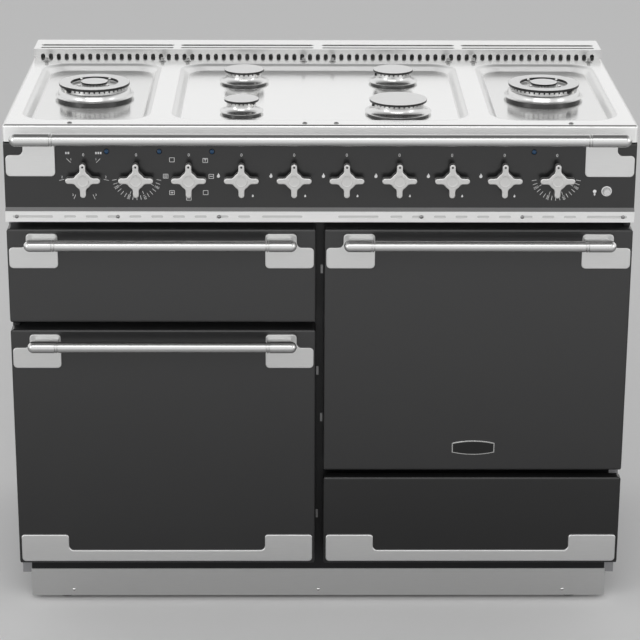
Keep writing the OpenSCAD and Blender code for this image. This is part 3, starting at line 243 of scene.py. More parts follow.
plinth_steel = brushed("plinth_steel", (0.93, 0.93, 0.925), 0.38)
dress(plinth_steel, "plinth")
screw_steel = brushed("screw_steel", (0.30, 0.30, 0.30), 0.3, (1.0, 1.0, 1.0))
dress(screw_steel, "trim_screws")
dome_steel = brushed("dome_steel", (0.80, 0.80, 0.795), 0.25, (1.0, 1.0, 1.0))
screw_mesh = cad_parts["trim_screws"].data
screw_mesh.materials.append(dome_steel)
plinth_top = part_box("plinth")[1].z
for polygon in screw_mesh.polygons:
    polygon.material_index = 1 if polygon.center.z < plinth_top else 0

# Feet and rollers: black moulded nylon. The feet screw into the base at the front, and the rollers turn on their pins
# at its rear.
nylon = painted("black_nylon", (0.015, 0.015, 0.015), 0.55, 0.1)
dress(nylon, "front_feet", "rear_rollers")

# Control panel, door fronts and drawer front: pressed sheet steel with a satin slate enamel and round edges that catch
# the light. The control panel's lower edge flares out into a lip, which faces up; its faces are painted a paler grey,
# a painted highlight for the light it catches.
slate = painted("slate_enamel", (0.0085, 0.0085, 0.0088), 0.30, 0.03, 700.0)
dress(slate, "control_panel", "drawer_front")
# The door fronts take a paler copy of the same slate enamel as the panel and the drawer front: painted light.
door_slate_lit = painted("door_slate_enamel", (0.0175, 0.0175, 0.0180), 0.30, 0.03, 700.0)
dress(door_slate_lit, "grill_door_panel", "left_door_panel", "right_door_panel")
for enamel in (slate, door_slate_lit):
    enamel.node_tree.nodes["Principled BSDF"].inputs["IOR"].default_value = 1.65
panel_low, panel_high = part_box("control_panel")
lip_highlight_grey = painted("lip_highlight_grey", (0.20, 0.20, 0.20), 0.45, 0.03, 700.0)
panel_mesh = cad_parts["control_panel"].data
panel_mesh.materials.append(lip_highlight_grey)
lip_height = 0.0055
for polygon in panel_mesh.polygons:
    polygon.material_index = 1 if polygon.center.z < panel_low.z + lip_height else 0

# Vent strip: a folded strip of brushed stainless with a row of slots, screwed on between the control panel and the
# doors.
strip_steel = brushed("strip_steel", (0.96, 0.96, 0.955), 0.38)
dress(strip_steel, "vent_strip")

# Oven chambers, grill pan and the doors' inner panels: pressed steel with a glossy, dark blue-grey enamel. The chambers
# are fixed to the front frame, the inner panels to the backs of the door fronts.
oven_enamel = painted("oven_enamel", (0.030, 0.034, 0.042), 0.22, 0.05, 300.0, 0.4)
dress(oven_enamel, "grill_liner", "left_oven_liner", "right_oven_liner", "grill_pan", "grill_door_liner",
      "left_door_liner", "right_door_liner")

# Shelves and heating elements: the shelves are welded from chromed wire and lie on the chambers' ledges. The grill
# element and the two rings round the fans are bent tubes with a grey sheath, darker with use.
chrome_wire = brushed("chrome_wire", (0.75, 0.75, 0.75), 0.15, (1.0, 1.0, 1.0), 0.02)
dress(chrome_wire, "oven_shelves")
element_sheath = brushed("element_sheath", (0.16, 0.15, 0.145), 0.45, (1.0, 1.0, 1.0), 0.1)
dress(element_sheath, "heating_elements")

# Door seals: loops of black woven silicone that close the gap between each oven door and the front frame. They are
# soft and dull, and show only from the side.
seal_rubber = painted("seal_rubber", (0.010, 0.010, 0.010), 0.8, 0.3, 400.0)
dress(seal_rubber, "door_seals")

# Gas rail, taps and spindles: brass castings on a pipe behind the control panel. Each tap's turned spindle passes
# through the panel and carries a burner knob.
brass = brushed("brass", (0.55, 0.44, 0.22), 0.35, (1.0, 1.0, 1.0))
dress(brass, "gas_rail", *[f"tap_spindle_{n}" for n in range(1, 7)])

# Switches: ivory moulded plastic bodies fixed to the back of the control panel, one behind each oven and grill knob
# and one behind the light button.
switch_plastic = painted("switch_plastic", (0.70, 0.67, 0.60), 0.5)
dress(switch_plastic, "control_switches")


# Knobs: cast crosses in satin nickel with round arms and a shallow disc on the face. A small black dot marks the arm
# that points at the scale. Each one hides its shaft.
def ring_of(points, inset):
    """An outline moved inwards by the same distance all round."""
    count, moved = len(points), []
    for n, p in enumerate(points):
        before, after = Vector(points[n - 1]), Vector(points[(n + 1) % count])
        along = (Vector(p) - before).normalized() + (after - Vector(p)).normalized()
        along.normalize()
        moved.append((p[0] - along.y * inset, p[1] + along.x * inset))
    return moved


def solid(name, body, material, points, steps, place, replaces=()):
    """A closed piece made of one outline at several heights. steps are (inset, height) from the back to the front,
    and place turns (a, b, height) into a point of the cooker."""
    verts, faces, count = [], [], len(points)
    for inset, height in steps:
        verts += [place(a, b, height) for a, b in (ring_of(points, inset) if inset else points)]
    for row in range(len(steps) - 1):
        for n in range(count):
            m = (n + 1) % count
            faces.append((row * count + n, row * count + m, (row + 1) * count + m, (row + 1) * count + n))
    faces.append(tuple(reversed(range(count))))
    faces.append(tuple(range((len(steps) - 1) * count, len(steps) * count)))
    return piece(name, body, material, verts, faces, replaces)


def piece(name, body, material, verts, faces, replaces=()):
    """A mesh object that rides on one body, smooth except at its sharp edges."""
    data = bpy.data.meshes.new(name)
    data.from_pydata([tuple(v) for v in verts], [], faces)
    data.polygons.foreach_set("use_smooth", [True] * len(data.polygons))
    data.set_sharp_from_angle(angle=math.radians(35))
    data.materials.append(material)
    data.validate()
    form = bmesh.new()
    form.from_mesh(data)
    bmesh.ops.recalc_face_normals(form, faces=form.faces)
    form.to_mesh(data)
    form.free()
    thing = bpy.data.objects.new(name, data)
    bpy.context.scene.collection.objects.link(thing)
    thing.modifiers.new("flat faces first", "WEIGHTED_NORMAL").keep_sharp = True
    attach(thing, body)
    if replaces:
        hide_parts(*replaces)
    return thing


def arc(cx, cy, r, start, end, count):
    """Points on a round corner, from one angle to another in degrees."""
    return [(cx + r * math.cos(math.radians(start + (end - start) * n / count)),
             cy + r * math.sin(math.radians(start + (end - start) * n / count))) for n in range(count + 1)]


satin_nickel = brushed("satin_nickel", (0.73, 0.725, 0.715), 0.36, (1.0, 1.0, 1.0), 0.05, 300.0)
dot_black = painted("dot_black", (0.004, 0.004, 0.004), 0.6)
knob_radius, arm = 0.0300, 0.0051
cross = []
for quarter in range(4):
    tip = arc(knob_radius - arm, 0.0, arm, -90, 90, 12)
    inner = [(0.0190, arm), (0.0167, 0.0054), (0.0149, 0.0061), (0.0134, 0.0074), (0.0121, 0.0091), (0.0107, 0.0107)]
    inner += [(z, x) for x, z in reversed(inner[:-1])]
    turn = math.radians(90 * quarter)
    for x, z in tip + inner:
        cross.append((x * math.cos(turn) - z * math.sin(turn), x * math.sin(turn) + z * math.cos(turn)))
oven_knobs = ["grill_knob", "left_oven_heat_knob", "left_oven_function_knob", "right_oven_heat_knob"]
knobs = oven_knobs + [f"burner_knob_{n}" for n in range(1, 7)]
for name in knobs:
    low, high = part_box(name)
    mid_x, mid_z = (low.x + high.x) / 2, (low.z + high.z) / 2
    face, rear = low.y, high.y

    def at_knob(a, b, height):
        return (mid_x + a, face + height, mid_z + b)

    steps = [(0.0012, 0.0150), (0.0003, 0.0147), (0.0, 0.0140), (0.0, 0.0022), (0.0003, 0.0015), (0.0010, 0.0011),
             (0.0020, 0.0010)]
    solid(name + "_cross", name, satin_nickel, cross, steps, at_knob, [name])
    disc = arc(0.0, 0.0, 0.0104, 0, 352.5, 47)
    solid(name + "_disc", name, satin_nickel, disc,
          [(0.0, 0.0016), (0.0, 0.0006), (0.0004, 0.0001), (0.0012, 0.0), (0.0022, 0.0003), (0.0030, 0.0004)], at_knob)
    neck, back = arc(0.0, 0.0, 0.0110, 0, 352.5, 47), rear - face
    solid(name + "_neck", name, satin_nickel, neck,
          [(0.0, back), (0.0, back - 0.004), (0.0008, back - 0.006), (0.0008, 0.0145)], at_knob)
    dot = [(x, z + 0.0247) for x, z in arc(0.0, 0.0, 0.0018, 0, 345, 23)]
    solid(name + "_dot", name, dot_black, dot, [(0.0, 0.0020), (0.0, 0.00085)], at_knob)


# Marks beside the knobs: pale grey screen print on the enamel. Plain scales only: degree ticks with numbers on the two
# oven dials, three steps on the grill dial, small oven signs round the third knob and two flames at each gas knob.
print_grey = painted("print_grey", (0.80, 0.80, 0.80), 0.6, 0.0)
body_depth, panel_setback, knob_rise, ink = 0.608, 0.004, 0.065, 0.00012
mark_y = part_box("rear_vent_trim")[1].y - body_depth + panel_setback
mark_z = panel_low.z + knob_rise
print_verts, print_faces = [], []


def print_points(points, x, z, angle):
    """Adds points to the print and tells the number of the first. They are millimetres round (x, z)."""
    a, first = math.radians(-angle), len(print_verts)
    for u, v in points:
        print_verts.append((x + (u * math.cos(a) - v * math.sin(a)) / 1000, mark_y - ink,
                            z + (u * math.sin(a) + v * math.cos(a)) / 1000))
    return first


def print_shape(points, x, z, angle=0.0):
    """One flat printed shape. angle turns it clockwise."""
    first = print_points(points, x, z, angle)
    print_faces.append(tuple(range(first, first + len(points))))


def print_block(left, low, right, high, x, z, angle=0.0):
    """A filled rectangle."""
    print_shape([(left, low), (right, low), (right, high), (left, high)], x, z, angle)


def print_text(words, x, z, size, angle=0.0):
    """A plain number, centred on a point. size is its height in millimetres."""
    letters = bpy.data.curves.new("number", "FONT")
    letters.body, letters.align_x, letters.align_y = words, "CENTER", "CENTER"
    letters.size = size * 1.4
    holder = bpy.data.objects.new("number", letters)
    flat = bpy.data.meshes.new_from_object(holder)
    first = print_points([(v.co.x, v.co.y) for v in flat.vertices], x, z, angle)
    print_faces.extend([tuple(first + n for n in face.vertices) for face in flat.polygons])
    bpy.data.objects.remove(holder)


def print_tick(x, z, angle, start, end, width=0.7):
    """A line that points away from a dial's middle. Angles run clockwise from the top."""
    print_block(-width / 2, start, width / 2, end, x, z, angle)


def print_frame(x, z, w, h):
    """A rectangle drawn with a line."""
    line = 0.8
    for u, v, a, b in [(0, h / 2, w, line), (0, -h / 2, w, line), (-w / 2, 0, line, h), (w / 2, 0, line, h)]:
        print_block(u - a / 2, v - b / 2, u + a / 2, v + b / 2, x, z)


def knob_x(name):
    """The place of a knob along the panel."""
    low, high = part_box(name)
    return (low.x + high.x) / 2


for name in knobs:
    print_text("0", knob_x(name), mark_z + 0.034, 5.4)
for name in ("left_oven_heat_knob", "right_oven_heat_knob"):
    x, z = knob_x(name), mark_z - 0.0035
    for n, angle in enumerate(range(100, 261, 10)):
        numbered = n in (2, 6, 10, 14)
        print_tick(x, z, angle, 28.6 if numbered else 35.0, 34.2 if numbered else 43.0, 0.8)
        if numbered:
            reach, along = math.radians(angle), angle - 90 if angle < 180 else angle + 90
            print_text(str(50 * (n // 4 + 2)), x + 0.0398 * math.sin(reach), z + 0.0398 * math.cos(reach), 4.3, along)
x, z = knob_x("grill_knob"), mark_z - 0.0015
for turned_to, (start, end), digit, far, spread in [(45, (31, 41), "1", 35, 38), (103, (35, 44), "2", 38, 96),
                                                    (157, (38, 47), "3", 41, 151)]:
    for side in (-1, 1):
        print_tick(x, z, side * turned_to, start, end)
        a = math.radians(side * spread)
        print_text(digit, x + far / 1000 * math.sin(a), z + far / 1000 * math.cos(a), 4.2)
for low, high in [(-31, -28.4), (-27, -24), (20.6, 23.4), (24.6, 27.4), (28.6, 31.4)]:
    print_block(low, 35.5, high, 39.5, x, mark_z)
x = knob_x("left_oven_function_knob")
for n, (u, v) in enumerate([(-29.2, 25.6), (28.2, 24.6), (-40.4, -3.6), (38.3, -3.8), (-29.9, -33), (28.2, -32.9),
                            (-0.9, -42.8)]):
    px, pz = x + u / 1000, mark_z + v / 1000
    print_frame(px, pz, 8.2, 7.4)
    if n in (1, 3, 4, 6):
        print_block(-2.6, -0.5, 2.6, 0.5, px, pz + (0.0024 if n == 1 else 0.0))
    if n in (1, 4):
        print_block(-0.5, -2.0, 0.5, 2.0, px, pz)
    if n == 2:
        for w in (-2.0, 0.0, 2.0):
            print_block(-2.6, w - 0.4, 2.6, w + 0.4, px, pz)
flame = [(0.0, 4.4), (1.3, 2.2), (2.5, 0.2), (2.8, -1.6), (2.2, -3.2), (0.9, -4.2), (-0.9, -4.2), (-2.2, -3.2),
         (-2.8, -1.4), (-1.9, 0.6), (-0.9, 1.6)]
for n in range(1, 7):
    x = knob_x(f"burner_knob_{n}")
    print_shape(flame, x - 0.0402, mark_z - 0.0021)
    print_shape([(u * 0.62, v * 0.62) for u, v in flame], x + 0.019, mark_z - 0.0383)
x, z = panel_high.x - 0.070, panel_low.z + 0.0335
print_shape(arc(0.0, 1.6, 3.1, -60, 240, 15), x, z)
print_block(-1.5, -4.4, 1.5, -2.0, x, z)
print_block(-1.0, -6.2, 1.0, -5.2, x, z)
piece("dial_marks", "cooker", print_grey, print_verts, print_faces)


# Indicator lenses, light button and its ring: black bezels with a clear blue cap, and a chromed ring that holds a grey
# button. They snap into holes of the panel.
def turned(name, body, material, profile, centre, axis, replaces=(), count=48):
    """A turned piece. profile is a list of (place along the axis, radius) and centre is the place of its zero."""
    verts, faces = [], []
    for t, r in profile:
        for n in range(count):
            a = 2 * math.pi * n / count
            ring = {"x": (t, r * math.cos(a), r * math.sin(a)), "y": (r * math.cos(a), t, r * math.sin(a)),
                    "z": (r * math.cos(a), r * math.sin(a), t)}[axis]
            verts.append(tuple(c + d for c, d in zip(centre, ring)))
    for row in range(len(profile) - 1):
        for n in range(count):
            m = (n + 1) % count
            faces.append((row * count + n, row * count + m, (row + 1) * count + m, (row + 1) * count + n))
    faces.append(tuple(range(count)))
    faces.append(tuple(range((len(profile) - 1) * count, len(profile) * count)))
    return piece(name, body, material, verts, faces, replaces)


bezel_black = painted("bezel_black", (0.012, 0.012, 0.013), 0.25, 0.0)
lens_blue = painted("lens_blue", (0.010, 0.055, 0.13), 0.12, 0.0)
ring_chrome = brushed("ring_chrome", (0.80, 0.80, 0.80), 0.14, (1.0, 1.0, 1.0), 0.0)
button_grey = painted("button_grey", (0.62, 0.62, 0.62), 0.35, 0.02)
for n, name in enumerate(oven_knobs):
    x, z = knob_x(name) + (0.040 if n < 3 else -0.040), mark_z + 0.0405
    turned(f"lens_bezel_{n + 1}", "cooker", bezel_black,
           [(0.0, 0.0050), (-0.0008, 0.0050), (-0.0014, 0.0044), (-0.0010, 0.0040)], (x, mark_y, z), "y",
           ["panel_inserts"] if n == 0 else [], 32)
    turned(f"lens_cap_{n + 1}", "cooker", lens_blue,
           [(0.0, 0.0039), (-0.0012, 0.0038), (-0.0020, 0.0030), (-0.0024, 0.0017), (-0.0026, 0.0004)],
           (x, mark_y, z), "y", (), 32)
button_low, button_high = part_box("light_button")
centre = ((button_low.x + button_high.x) / 2, mark_y, (button_low.z + button_high.z) / 2)
turned("button_ring", "cooker", ring_chrome,
       [(0.0, 0.0097), (-0.0006, 0.0097), (-0.0016, 0.0091), (-0.0020, 0.0080), (-0.0018, 0.0069), (-0.0008, 0.0063)],
       centre, "y")
turned("button_cap", "light_button", button_grey,
       [(button_high.y - mark_y, 0.0057), (-0.0008, 0.0057), (button_low.y - mark_y + 0.0004, 0.0055),
        (button_low.y - mark_y, 0.0048)], centre, "y", ["light_button"])

# Handrail and door handles: satin stainless bars. Each end has a cast cap with a round nose, a thin ring against the
# bar, and a bracket that curves back to an L-shaped foot plate.
satin_steel = brushed("satin_steel", (0.74, 0.74, 0.735), 0.24, (1.0, 40.0, 40.0), 0.06)
plate_steel = brushed("plate_steel", (0.76, 0.76, 0.755), 0.40, (1.0, 40.0, 40.0), 0.04)
# The handrail's foot plates take a paler copy of the same steel as the door handles' plates: painted light.
rail_plate_lit_steel = brushed("rail_plate_lit_steel", (0.80, 0.80, 0.795), 0.40, (1.0, 40.0, 40.0), 0.04)
shaded_steel = brushed("shaded_steel", (0.36, 0.36, 0.355), 0.28, (1.0, 40.0, 40.0), 0.06)


def shade_top(thing):
    """Darkens the upper side of a door handle's piece, which mirrors the dark panel above it."""
    thing.data.materials.append(shaded_steel)
    for polygon in thing.data.polygons:
        polygon.material_index = 1 if polygon.normal.z > 0.88 else 0


def foot_outline(wide, low, narrow, top, r, fillet):
    """The L-shaped outline of a foot plate, from its inner lower corner."""
    points = arc(r, r, r, 180, 270, 8) + arc(wide - r, r, r, 270, 360, 8) + arc(wide - r, low - r, r, 0, 90, 8)
    points += list(reversed(arc(narrow + fillet, low + fillet, fillet, 180, 270, 8)))
    return points + arc(narrow - r, top - r, r, 0, 90, 8) + arc(r, top - r, r, 90, 180, 8)


def grip(name, body, span, end, inner, foot, bar_at, rod, cap, plate_at, top, arm_top, sheet):
    """A bar along X with its caps, brackets and foot plates. end, inner and foot are the cap's tip, the bar's start and
    the plate's inner edge, measured from the ends of span. bar_at and plate_at are (y, z), rod and cap are radii, top
    is the plate's height and arm_top the bracket's upper end above the bar's axis."""
    (low, high), (y, z), (plate_y, plate_z), slot_name = span, bar_at, plate_at, "satin_steel"
    middle, half, thick, arm_low = (low + high) / 2, (high - low) / 2, 0.004, 0.014
    bar = turned(name + "_bar", body, satin_steel,
                 [(-half + inner, rod * 0.7), (-half + inner + 0.0004, rod - 0.0003), (-half + inner + 0.0008, rod),
                  (half - inner - 0.0008, rod), (half - inner - 0.0004, rod - 0.0003), (half - inner, rod * 0.7)],
                 (middle, y, z), "x", [name])
    if body != "cooker":
        shade_top(bar)
    nose = [(end + cap * (1 - math.cos(math.radians(a))), max(0.0002, cap * math.sin(math.radians(a))))
            for a in range(0, 91, 9)]
    for side, word in ((-1, "left"), (1, "right")):
        profile = [(side * (half - t), r) for t, r in nose + [
            (inner - 0.0056, cap), (inner - 0.0052, cap - 0.0005), (inner - 0.0051, cap - 0.0025),
            (inner - 0.0042, cap - 0.0025), (inner - 0.0041, cap - 0.0004), (inner - 0.0036, cap),
            (inner - 0.0014, cap), (inner - 0.0010, cap - 0.0004), (inner - 0.0009, rod * 0.78),
            (inner + 0.0004, rod * 0.78)]]
        end_cap = turned(f"{name}_{word}_cap", body, satin_steel, profile, (middle, y, z), "x")
        if body != "cooker":
            shade_top(end_cap)

        def on_door(a, b, height):
            return (middle + side * (half - foot + a), plate_y + height, plate_z + b)

        shape = foot_outline(0.085, 0.038, 0.055, top, 0.0075, 0.0085)
        solid(f"{name}_{word}_plate", body, sheet, shape,
              [(0.0, thick), (0.0, 0.0010), (0.0004, 0.0004), (0.0014, 0.0)], on_door)
        arm_shape = [(plate_y + 0.0002, z + arm_top), (y, z + cap * 0.72), (y, z - cap * 0.72)]
        arm_shape += arc(y + (plate_y - y) * 0.52, z - cap * 0.9 - 0.012, 0.0135, 130, 50, 6)
        arm_shape += [(plate_y + 0.0002, z - arm_low)]

        def on_arm(a, b, height):
            return (middle + side * (half - foot + 0.003 + height), a, b)

        solid(f"{name}_{word}_arm", body, sheet, arm_shape,
              [(0.0010, 0.0), (0.0, 0.0010), (0.0, 0.0410), (0.0010, 0.0420)], on_arm)


rail_low, rail_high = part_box("handrail")
half_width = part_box("hotplate")[1].x
rail_cap = 0.0115
rail_y, rail_z = rail_low.y + rail_cap, rail_high.z - rail_cap
grip("handrail", "cooker", (-half_width, half_width), 0.016, 0.0895, 0.089, (rail_y, rail_z), 0.01075, rail_cap,
     (mark_y - 0.004, rail_z - 0.075), 0.059, -0.004, rail_plate_lit_steel)
for name, body, panel in [("grill_door_handle", "grill_door", "grill_door_panel"),
                          ("left_door_handle", "left_oven_door", "left_door_panel"),
                          ("right_door_handle", "right_oven_door", "right_door_panel")]:
    low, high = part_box(panel)
    grip(name, body, (low.x, high.x), 0.0335, 0.0865, 0.0885, (low.y - 0.038, high.z - 0.019), 0.00975, 0.01025,
         (low.y - 0.004, high.z - 0.0705), 0.063, 0.004, plate_steel)


# Hotplate: one stainless pressing with three wells, whose lips have a wide radius and whose feet a tight one, and an
# edge turned down over the body. Short studs for the pan supports are welded on at the rear, four low domes in front.
def rounded(cx, cy, w, d, r, steps=12):
    """A rectangle with round corners, counter-clockwise."""
    points = []
    for sx, sy, start in ((1, 1, 0), (-1, 1, 90), (-1, -1, 180), (1, -1, 270)):
        points += arc(cx + sx * (w / 2 - r), cy + sy * (d / 2 - r), r, start, start + 90, steps)
    return points


deck_steel = brushed("deck_steel", (0.86, 0.86, 0.855), 0.18, (1.0, 6.0, 6.0), 0.02)
apron_steel = brushed("apron_steel", (0.96, 0.96, 0.955), 0.55, (1.0, 30.0, 30.0), 0.02)
wall_steel = brushed("wall_steel", (0.90, 0.90, 0.895), 0.46, (1.0, 6.0, 6.0), 0.02)
side_well_shaded_steel = brushed("side_well_shaded_steel", (0.76, 0.76, 0.755), 0.18, (1.0, 6.0, 6.0), 0.02)
stud_steel = brushed("stud_steel", (0.36, 0.36, 0.355), 0.30, (1.0, 1.0, 1.0), 0.02)
deck_low, deck_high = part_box("hotplate")
trim_low, trim_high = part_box("rear_vent_trim")
deck_z = trim_low.z
deck_front, deck_back = deck_low.y, deck_high.y
well_front, well_back, side_well, middle_well = deck_front + 0.035, trim_low.y - 0.051, 0.221, 0.516
well_y, well_d = (well_front + well_back) / 2, well_back - well_front
side_x = half_width - 0.028 - side_well / 2
edge = rounded(0.0, (deck_front + deck_back) / 2, 2 * half_width, deck_back - deck_front, 0.006, 8)
gauge, apron_height, fold = 0.0015, 0.030, 0.005
apron = [(gauge, -0.020), (gauge, -apron_height), (0.0, -apron_height), (0.0, -0.0055)]
for a in range(15, 91, 15):
    apron.append((fold * (1 - math.cos(math.radians(a))), fold * math.sin(math.radians(a)) - fold))
verts, faces = [], []
for inset, drop in apron:
    verts += [(a, b, deck_z + drop) for a, b in ring_of(edge, inset)]
count = len(edge)
for row in range(len(apron) - 1):
    for n in range(count):
        m = (n + 1) % count
        faces.append((row * count + n, row * count + m, (row + 1) * count + m, (row + 1) * count + n))
starts = [(len(apron) - 1) * count]
rims = [[Vector(v) for v in verts[starts[0]:]]]
side_drop, middle_drop = 0.0130, 0.0124


def well_wall(drop):
    """A well's wall from its lip to its floor, as (inset, depth): a wide radius, a slope and a tight foot."""
    top, foot = 0.0110, 0.0030
    turns = [math.radians(56 * n / 8) for n in range(9)]
    wall = [(top * math.sin(a) - 0.0015, top * (1 - math.cos(a))) for a in turns]
    run = (drop - (top + foot) * (1 - math.cos(turns[-1]))) / math.tan(turns[-1])
    reach = wall[-1][0] + run + foot * math.sin(turns[-1])
    return wall + [(reach - foot * math.sin(a), drop - foot * (1 - math.cos(a))) for a in reversed(turns)]


for cx, width, drop in [(-side_x, side_well, side_drop), (0.0, middle_well, middle_drop),
                        (side_x, side_well, side_drop)]:
    lip, steps = rounded(cx, well_y, width, well_d, 0.050), well_wall(drop)
    start, count = len(verts), len(lip)
    for inset, deep in steps:
        verts += [(a, b, deck_z - deep) for a, b in ring_of(lip, inset)]
    for row in range(len(steps) - 1):
        for n in range(count):
            m = (n + 1) % count
            faces.append((start + row * count + n, start + row * count + m, start + (row + 1) * count + m,
                          start + (row + 1) * count + n))
    faces.append(tuple(range(start + (len(steps) - 1) * count, start + len(steps) * count)))
    rims.append([Vector(v) for v in reversed(verts[start:start + count])])
    starts.append(start)
order = list(range(starts[0], starts[0] + len(rims[0])))
for rim, start in zip(rims[1:], starts[1:]):
    order += list(reversed(range(start, start + len(rim))))
faces += [tuple(order[n] for n in face) for face in tessellate_polygon(rims)]
pressing = piece("hotplate_pressing", "cooker", deck_steel, verts, faces, ["hotplate"])
for steel in (apron_steel, wall_steel, side_well_shaded_steel):
    pressing.data.materials.append(steel)
for polygon in pressing.data.polygons:
    where, tilt = polygon.center, polygon.normal.z
    if where.z < deck_z - 0.0035 and abs(tilt) < 0.6 and where.y < deck_front + 0.006:
        polygon.material_index = 1
    elif tilt < 0.9985 and where.y > deck_front + 0.020:
        polygon.material_index = 2
    # The side wells' floors take a darker copy of the deck steel: painted shade.
    elif where.z < deck_z - 0.004 and abs(where.x) > 0.28 and where.y > deck_front + 0.020:
        polygon.material_index = 3
stud_y = trim_low.y - 0.037
stud_profile = [(0.0, 0.0068), (0.0007, 0.0066), (0.0014, 0.0052), (0.0021, 0.0041), (0.0030, 0.0036),
                (0.0069, 0.0035), (0.0075, 0.0030), (0.0077, 0.0018)]
for n, x in enumerate([-0.518, -0.297, -0.249, -0.0275, 0.0275, 0.249, 0.297, 0.518]):
    turned(f"deck_stud_{n + 1}", "cooker", stud_steel, stud_profile, (x, stud_y, deck_z), "z", (), 24)
# The domes take the dark screw steel: a painted dark reflection on their sides.
for n, x in enumerate([-0.431, -0.027, 0.027, 0.431]):
    turned(f"deck_dome_{n + 1}", "cooker", screw_steel,
           [(0.0, 0.0044), (0.0008, 0.0042), (0.0016, 0.0032), (0.0021, 0.0018), (0.0022, 0.0004)],
           (x, deck_front + 0.013, deck_z), "z", (), 24)

# Rear vent trim: folded stainless with arched air holes and long slots, which stands on the hotplate's rear edge. A
# sheet inside it turns the ovens' warm air forward.
trim_steel = brushed("trim_steel", (0.86, 0.86, 0.855), 0.28, (1.0, 8.0, 8.0), 0.01)
dress(trim_steel, "rear_vent_trim")
# The trim's forward-facing faces take a darker copy of the same steel: painted shade.
trim_face_shaded_steel = brushed("trim_face_shaded_steel", (0.68, 0.68, 0.675), 0.30, (1.0, 8.0, 8.0), 0.01)
trim_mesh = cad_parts["rear_vent_trim"].data
trim_mesh.materials.append(trim_face_shaded_steel)
for polygon in trim_mesh.polygons:
    polygon.material_index = 1 if polygon.normal.y < -0.7 else 0
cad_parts["rear_vent_trim"].modifiers.new("soft folds", "BEVEL").width = 0.0006
guide = rounded(0.0, (trim_low.y + trim_high.y) / 2, 2 * half_width - 0.008, trim_high.y - trim_low.y - 0.010,
                0.002, 2)
solid("vent_air_guide", "cooker", trim_steel, guide, [(0.0, -0.0010), (0.0, 0.0)],
      lambda a, b, height: (a, b, trim_high.z - 0.0065 + height))

# Burners: a polished dish whose flared foot ends in a thin brim, an aluminium crown with a row of flame ports, and an
# enamelled cap on top. The wok burners have a ring-shaped cap, and a second, small burner stands in its hole.
dish_metal = brushed("dish_metal", (0.74, 0.74, 0.735), 0.22, (1.0, 1.0, 1.0), 0.01)
seat_shade_black = brushed("seat_shade_black", (0.085, 0.085, 0.085), 0.30, (1.0, 1.0, 1.0), 0.02)
crown_metal = brushed("crown_metal", (0.72, 0.72, 0.715), 0.34, (1.0, 1.0, 1.0), 0.03)
hollow_metal = brushed("hollow_metal", (0.78, 0.78, 0.775), 0.42, (1.0, 1.0, 1.0), 0.05)
cap_top = painted("cap_top", (0.90, 0.90, 0.895), 0.36, 0.02)
cap_edge = painted("cap_edge", (0.010, 0.010, 0.010), 0.35, 0.0)
igniter_white = painted("igniter_white", (0.82, 0.81, 0.78), 0.35, 0.0)


def crown(name, x, y, outer, low, ports, high, teeth, gap, notch=None):
    """A ring whose upper part is cut into teeth. gap is a slot's share of the pitch. notch is the igniter's opening:
    its angle, its width in degrees and the height where it starts."""
    verts, faces, inner = [], [], outer - 0.0030

    def block(a0, a1, z0, z1, steps):
        start, closed = len(verts), a1 - a0 == 360
        for n in range(steps if closed else steps + 1):
            a = math.radians(a0 + (a1 - a0) * n / steps)
            for r, z in ((inner, z0), (outer, z0), (outer, z1), (inner, z1)):
                verts.append((x + r * math.cos(a), y + r * math.sin(a), deck_z + z))
        for n in range(steps):
            p, q = start + 4 * n, start + 4 * ((n + 1) % steps if closed else n + 1)
            for k in range(4):
                m = (k + 1) % 4
                faces.append((p + k, p + m, q + m, q + k))
        if not closed:
            end = start + 4 * steps
            faces.append((start + 3, start + 2, start + 1, start))
            faces.append((end, end + 1, end + 2, end + 3))

    if notch:
        middle, wide, level = notch
        block(0, 360, low, level, 96)
        block(middle + wide / 2, middle + 360 - wide / 2, level, ports, 92)
    else:
        block(0, 360, low, ports, 96)
    pitch = 360.0 / teeth
    for n in range(teeth):
        place = (n + 0.5) * pitch
        if not notch or abs((place - middle + 180) % 360 - 180) > (wide + pitch * (1 - gap)) / 2:
            block(place - pitch * (1 - gap) / 2, place + pitch * (1 - gap) / 2, ports, high, 3)
    piece(name, "cooker", crown_metal, verts, faces)


def hollow(name, profile, x, y, material):
    """A turned ring whose profile closes on itself."""
    count = 72
    verts = [(x + r * math.cos(2 * math.pi * n / count), y + r * math.sin(2 * math.pi * n / count), deck_z + z)
             for z, r in profile for n in range(count)]
    faces = []
    for row in range(len(profile)):
        after = (row + 1) % len(profile)
        for n in range(count):
            m = (n + 1) % count
            faces.append((row * count + n, row * count + m, after * count + m, after * count + n))
    piece(name, "cooker", material, verts, faces)


def disc_cap(name, x, y, r, low, high, hole=0.0):
    """A cap: pale enamel on top, black on its edge and below, partly painted shade under its overhang."""
    edge = [(low, r - 0.0008), (low + 0.0004, r - 0.0002), (high - 0.0006, r), (high - 0.0003, r - 0.0003)]
    top = [(high - 0.0004, r - 0.0002), (high - 0.0001, r - 0.0006), (high, r - 0.0016)]
    if hole:
        edge = [(low, hole)] + edge + [(high - 0.0006, hole)]
        top = [(high - 0.0006, hole + 0.0002)] + top + [(high, hole + 0.0012), (high - 0.0003, hole + 0.0005)]
        hollow(name + "_edge", edge, x, y, cap_edge)
        hollow(name + "_top", top, x, y, cap_top)
    else:
        turned(name + "_edge", "cooker", cap_edge, edge, (x, y, deck_z), "z", (), 64)
        turned(name + "_top", "cooker", cap_top, top, (x, y, deck_z), "z", (), 64)


cap_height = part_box("burner_caps")[1].z - deck_z
pair_x, pair_y = 0.1385, 0.116
